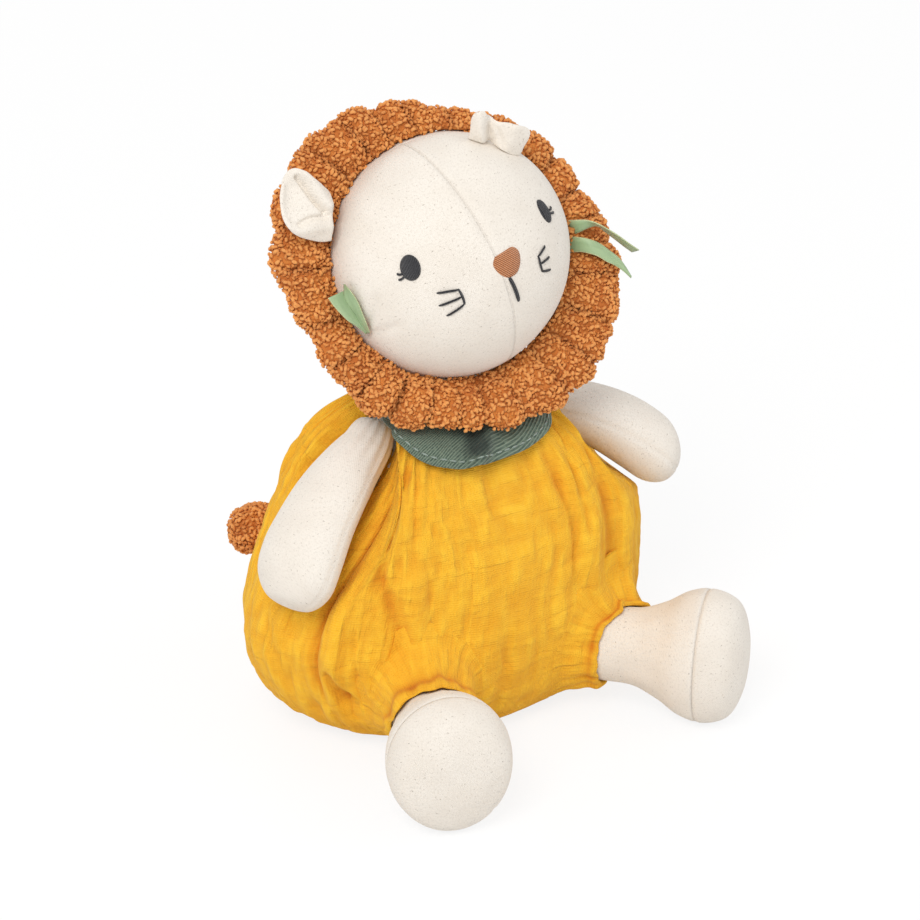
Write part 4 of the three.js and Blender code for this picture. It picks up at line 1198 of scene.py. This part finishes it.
def make_cuff(grid, side, hand, hem, longer, towards, bends):
    """The gathered end of a romper's leg, longer towards one side, running from the romper to the leg."""
    local = moved(grid, leg_frame(side).inverted())
    out = normals_of(local).reshape(-1, 3)
    local = local.reshape(-1, 3)
    room = leg_room(grid, side).reshape(-1)
    turn = np.arctan2(local[:, 0], local[:, 2])
    near = (room > -2) & (room < 14) & (local[:, 1] < LEG_ROOT) & (np.linalg.norm(local, axis=1) < 48)
    local, room, turn, out = local[near], room[near], turn[near], out[near]
    columns = 150
    around = np.arange(columns) / columns * TURN
    rings = []
    for level, lift in CUFF_ROOT:
        weight = hump(turn_between(turn[None, :], around[:, None]), 0.12) * hump(room - level, 1.2)[None, :] + 1e-12
        weight /= weight.sum(1, keepdims=True)
        ring = weight @ local + lift * (weight @ out)
        rings.append(np.stack([np.hypot(ring[:, 0], ring[:, 2]), ring[:, 1]], -1))
    edge = rings[-1]
    fall = blurred(edge[None, :, 1], 60)[0]
    end = np.minimum(fall, edge[:, 1]) - hem - longer * (0.5 + 0.5 * np.cos(around - towards))
    wide, high = LEG_CURVE.by_height(LEG_ROOT - end)
    leg = 1 / np.sqrt((np.sin(around) / (wide + CUFF_GAP)) ** 2 + (np.cos(around) / (high + CUFF_GAP)) ** 2)
    for share, off, past in CUFF_FALL:
        reach = 0.4 * edge[:, 0] + 0.6 * (leg + 3) if off is None else leg + off
        rings.append(np.stack([np.minimum(reach, edge[:, 0] + 1), edge[:, 1] + share * (end - edge[:, 1]) + past], -1))
    profile = softened(np.array(rings), 3)
    t = np.linspace(0, 1, len(profile))[:, None]
    gather = 0.5 * np.sin(13 * around + 2 * np.sin(3 * around)) + 0.7 * np.sin(7 * around + 1)
    profile[..., 0] += gather * hump(t - 0.55, 0.22)
    profile[..., 1] += 0.2 * np.sin(16 * around) * ramp(t, 0.5, 0.8)
    cuff = np.stack([np.sin(around) * profile[..., 0], profile[..., 1], np.cos(around) * profile[..., 0]], -1)
    cuff = moved(cuff, leg_frame(side))
    cuff[..., 2] = np.maximum(cuff[..., 2], 0.4)
    flat = cloth_places(np.arange(columns + 1) / columns * CUFF_ROUND, run_down(cuff))
    # painted shade where the cuff is drawn in, stronger on one side, and in the hollows of its gathers
    gather_shade = 0.75 * hump(t - 0.58, 0.07) * (0.6 + 0.4 * np.cos(around))
    crease = gather_shade + 0.4 * ramp(-gather, 0, 1.4) * hump(t - 0.6, 0.2)
    piece = wrapped(f"romper_cuff_{hand}", cuff, GAUZE, flat, poles=False, crease=crease)
    thickened(piece, CUFF_THICK, -1.0)
    first, last = (leg_frame(side) @ Vector((0, y, 0)) * MM for y in bends)
    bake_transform(piece)
    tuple(first)
    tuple(last)


def make_romper():
    """A balloon of double gauze, gathered into the neck and round the arms and legs."""
    grid, holes, hollow_shade, share = romper_cloth()
    make_cuff(grid, 1, "left", 6.5, 6.5, math.radians(-150), (-4, -16))
    make_cuff(grid, -1, "right", 11.5, 6.5, 0.0, (-8, -20))
    grid, keep = trimmed(grid, np.minimum.reduce(holes))
    steps = np.linspace(0, 1, len(grid)) * (ROMPER_CURVE.length - NECK_OPENING)
    flat = cloth_places(np.append(share[0], share[0][0] + 1) * ROMPER_ROUND, steps)
    grid[0] = grid[0].mean(0)
    romper = wrapped("romper_gauze", grid, GAUZE, flat, poles=False, keep=keep, crease=hollow_shade)
    tidied(romper.data, 1e-7)
    dressed(thickened(romper, GAUZE_THICK, -1.0), "torso_body", "gauze", "romper")


# Torso
def make_torso():
    torso = copy_of("torso_filling", "torso", voxel=2.2, smooth=3)
    set_points(torso.data, points_of(torso.data) + 1.2 * outward_of(torso.data))
    torso.data.materials.append(LINEN)
    torso.data.uv_layers.new(name="cloth")
    dressed(torso, "torso_body", "linen", "torso_cover", "torso_filling")


# Neckerchief. Its folds are spots in the picture, a depth and a width, and ridges are below zero
COLLAR_FOLDS = [
    ([(410, 440), (428, 450), (446, 458)], -2.2, 5.0),
    ([(483, 424), (484, 440), (480, 456), (474, 470)], -4.4, 2.0),
    ([(494, 446), (512, 434), (532, 424)], -2.0, 5.5),
    ([(492, 443), (501, 438), (510, 432)], 1.2, 1.1),
]
# spots of the picture along the rolled edge, where painted shade darkens the twill
ROLLED_EDGE = [(462, 424), (472, 430), (476, 448)]
COLLAR_TOP = 1 - 31 / ROMPER_CURVE.length
COLLAR_POINT = math.radians(-6)
COLLAR_BAND, FRONT_DROP, BACK_DROP = 4, 29, 12
COLLAR_GAP, COLLAR_THICK, COLLAR_FLARE = 0.6, 1.6, 1.5
COLLAR_ROUND = 230
HEM_INSET, HEM_STEP = 2.6, 3.4


def collar_fall(angle):
    """How far the collar hangs down, with a point in front and a smaller one behind."""
    ahead = turn_between(angle, COLLAR_POINT)
    return COLLAR_BAND + (FRONT_DROP * hump(ahead, 0.85) + BACK_DROP * hump(math.pi - np.abs(ahead), 0.8))


def on_collar(angle, turn, lift=0.0):
    """Places and outward directions round the folded band, and how much painted shade darkens it under its rolled edge.
    """
    share, step = (1 - np.cos(turn)) / 2, 0.01
    along = COLLAR_TOP - share * collar_fall(angle) / ROMPER_CURVE.length
    at = romper_point(angle, along)
    outward = np.cross(romper_point(angle + step, along) - at, romper_point(angle, along + step) - at)
    outward /= np.linalg.norm(outward, axis=-1, keepdims=True)
    flare = COLLAR_FLARE * (1 + 0.5 * np.cos(7 * turn_between(angle, COLLAR_POINT))) * share ** 2
    height = COLLAR_GAP + flare + COLLAR_THICK * (1 + np.sin(turn)) / 2 + lift
    spots = at + outward * height[..., None]
    flat = in_picture(spots)
    front = (outward @ VIEW_BACK > FACING) * share ** 0.5
    deep = sum(drawn_fold(flat, *fold) for fold in COLLAR_FOLDS) * front
    dark = hump(drawn_fold(flat, ROLLED_EDGE, 1, 4.4) - 1, 0.8) * front
    return spots - outward * deep[..., None], outward, dark


def make_collar():
    """A folded band of twill round the neck, with its point in front and a line of stitches along its edge."""
    angle, along = lattice(56, 260)
    turn = along * TURN
    grid, _, dark = on_collar(angle, turn)
    grid[-1], dark[-1] = grid[0], dark[0]
    down = (1 - np.cos(turn)) / 2 * collar_fall(angle)
    flat = np.stack([(angle / TURN - 0.5) * COLLAR_ROUND, down], -1)
    flat = np.concatenate([flat, flat[:, :1] + np.array([COLLAR_ROUND, 0])], 1)
    collar = wrapped("collar_twill", grid, TWILL, flat, poles=False, crease=dark)
    tidied(collar.data, 1e-7)
    dressed(collar, "torso_body", "twill", "collar")
    around = np.linspace(0, TURN, 361)[:-1]
    inset = 1 - 2 * np.clip(1 - HEM_INSET / collar_fall(around), 0, 1)
    line, outward, _ = on_collar(around, np.arccos(inset), 0.15)
    mesh = bpy.data.meshes.new("hem_path")
    mesh.from_pydata((line * MM).tolist(), [(k, (k + 1) % len(line)) for k in range(len(line))], [])
    layer = mesh.attributes.new("outward", "FLOAT_VECTOR", "POINT")
    layer.data.foreach_set("vector", outward.astype(np.float32).ravel())
    stitches = grown("collar_stitches", mesh, STITCHES, Stitch=STITCH_SHAPE, Step=HEM_STEP * MM, Finish=STITCH)
    dressed(stitches, "torso_body", "twill")


# Limbs
def make_arm(side, hand):
    """A stuffed tube with a seam down each edge, drawn in at its root."""
    angle, along = lattice(96, 72)
    at = ARM_CURVE.at(along)
    x, y = section(angle, at[..., 0], at[..., 1])
    reached = at[..., 2] - ARM_ROOT
    share = np.clip(reached / (ARM[2] - ARM_ROOT), 0, 1)
    seam = hump(turn_between(2 * angle, 0) / 2, 0.05) * ramp(share, 0, 0.1)
    puckers = 0.25 * np.sin(14 * angle) * (1 - ramp(share, 0.05, 0.3))
    soft = 0.25 * soft_noise(angle / TURN, along, 6, 9, 11 + side)
    size = np.maximum(np.hypot(x, y), 1e-6)
    keep = 1 + (soft + puckers - 0.35 * seam) / np.maximum(size, 4) * ramp(size, 1, 5)
    grid = np.stack([x * keep + arm_bow(side, share), y * keep, -reached], -1)
    arm = wrapped(f"arm_{hand}", moved(grid, arm_frame(side)), LINEN)
    nodes = (f"arm_{hand}_cover", f"arm_{hand}_filling")
    dressed(arm, f"arm_{hand}_body", "linen", *nodes)


def leg_grid(rows, start, end, seed):
    angle, along = lattice(rows, 80, start, end)
    at = LEG_CURVE.at(along)
    x, y = section(angle, at[..., 0], at[..., 1])
    soft = 0.2 * soft_noise(angle / TURN, along, 7, 10, seed)
    edge = hump(at[..., 2] - LEG_SEAM * LEG[2], 0.7)
    wrinkle = 0.25 * hump(at[..., 2] - 40, 6) * np.sin(9 * angle)
    underside = 0.3 * hump(turn_between(angle, math.pi * 0.75), 0.04) * ramp(at[..., 2], 20, 30)
    keep = 1 + (soft - 0.3 * edge + wrinkle - underside) / np.maximum(np.hypot(x, y), 5)
    return np.stack([x * keep, LEG_ROOT - at[..., 2], -y * keep], -1)


def tucked(ring, inwards):
    """The two rows that turn in at a seam and close what ends there."""
    tuck = ring * np.array([0.8, 1, 0.8]) + np.array([0, inwards, 0])
    return [tuck, np.repeat(tuck.mean(1, keepdims=True), ring.shape[1], 1)]


def make_leg(side, hand):
    """A stuffed leg that opens into a foot, and its domed oval sole, each turned in at the seam."""
    heights = LEG_CURVE.points[:, 2] / LEG[2]
    seam = float(LEG_CURVE.share[np.searchsorted(heights, LEG_SEAM)])
    cover, sole = leg_grid(84, 0, seam, 21 + side), leg_grid(34, seam, 1, 31 + side)
    cover = np.concatenate([cover, *tucked(cover[-1:], 1.2)])
    sole = np.concatenate([*tucked(sole[:1], -0.6)[::-1], sole])
    spoke = np.arange(sole.shape[1] + 1) / sole.shape[1] * TURN
    polar = run_down(sole[::-1])[::-1, None, None] * np.stack([np.sin(spoke), np.cos(spoke)], -1)[None]
    for name, grid, flat, nodes in (
        (f"leg_{hand}", cover, None, (f"leg_{hand}_cover", f"leg_{hand}_filling")),
        (f"leg_{hand}_oval_sole", sole, polar, (f"leg_{hand}_sole",)),
    ):
        placed = moved(grid, leg_frame(side))
        placed[..., 2] = np.maximum(placed[..., 2], 0.02)
        piece = wrapped(name, placed, LINEN, flat)
        dressed(piece, f"leg_{hand}_body", "linen", *nodes)


def make_tail():
    """A sewn cord that leaves the back and lies along it."""
    share = np.linspace(0, 1, 60)
    path = Curve(np.array(TAIL_SHARES) * TAIL_REACH + TAIL_ROOT).at(np.linspace(0, 0.98, 60))
    radius = TAIL_RADIUS + 1.5 * hump(share - 0.07, 0.06) + 0.12 * np.sin(np.linspace(0, 30, 60))
    tail = dressed(tube("tail_cord", path, radius, 20, LINEN), "tail_body", "linen", "tail")


make_head()
make_face()
make_mane()
for ear_hand, ear in EARS.items():
    make_ear(ear_hand, *ear)
for ribbon_name, edges in RIBBONS.items():
    make_ribbon(ribbon_name, *edges)
make_torso()
make_romper()
make_collar()
for limb_side, limb_hand in ((1, "left"), (-1, "right")):
    make_arm(limb_side, limb_hand)
    make_leg(limb_side, limb_hand)
make_tail()
make_tuft()
for shape in (CURL_SHAPE, STITCH_SHAPE):
    bpy.data.objects.remove(shape)


# Floor, lamps and background
FLOOR_HALF = 6
FLOOR_GREY, FLOOR_GLOW, FLOOR_SHARE = 0.86, 1.04, 0.8  # the share of its glow that the camera sees
WORLD_LIGHT = 0.58
LAMPS = (
    ("key", (-0.85, -0.65, 1.2), 12.6, 0.7, (1.0, 0.985, 0.965)),
    ("fill", (1.2, -0.8, 0.7), 4.6, 1.1, (0.97, 0.985, 1.0)),
    ("back", (0.2, 1.1, 1.1), 3.0, 0.9, (1.0, 1.0, 1.0)),
)
AIM = Vector((0, 0, 0.1))


def make_studio():
    """A pale floor that keeps a soft shadow, a white background and broad lamps."""
    mesh = bpy.data.meshes.new("floor")
    corners = [(x * FLOOR_HALF, y * FLOOR_HALF, 0) for x, y in ((-1, -1), (1, -1), (1, 1), (-1, 1))]
    mesh.from_pydata(corners, [], [(0, 1, 2, 3)])
    f = Finish("pale_floor", roughness=0.9)
    f.fill(f.shader, {"Base Color": (FLOOR_GREY, FLOOR_GREY, FLOOR_GREY, 1)})
    glow = f.add("ShaderNodeEmission", {"Color": (1, 1, 1, 1), "Strength": FLOOR_GLOW})
    seen = f.add("ShaderNodeLightPath", output="Is Camera Ray")
    both = f.add("ShaderNodeMixShader", {0: seen * FLOOR_SHARE, 1: Wire(f, f.shader.outputs[0]), 2: glow})
    f.tree.links.new(both.socket, f.tree.nodes["Material Output"].inputs["Surface"])
    mesh.materials.append(f.material)
    in_scene("floor", mesh)
    for name, place, power, width, colour in LAMPS:
        data = bpy.data.lights.new(name, "AREA")
        data.energy, data.size, data.color = power, width, colour
        lamp = in_scene(name, data)
        lamp.location = place
        lamp.rotation_euler = (AIM - Vector(place)).to_track_quat("-Z", "Y").to_euler()
    world = bpy.data.worlds.new("studio")
    world.use_nodes = True
    tree = world.node_tree
    tree.nodes.clear()
    mix = tree.nodes.new("ShaderNodeMixShader")
    tree.links.new(tree.nodes.new("ShaderNodeLightPath").outputs["Is Camera Ray"], mix.inputs[0])
    for socket, strength in ((1, WORLD_LIGHT), (2, 1.0)):
        light = tree.nodes.new("ShaderNodeBackground")
        light.inputs["Color"].default_value = (1, 1, 1, 1)
        light.inputs["Strength"].default_value = strength
        tree.links.new(light.outputs[0], mix.inputs[socket])
    tree.links.new(mix.outputs[0], tree.nodes.new("ShaderNodeOutputWorld").inputs["Surface"])
    bpy.context.scene.world = world
    bpy.context.scene.view_settings.view_transform = "Standard"


make_studio()
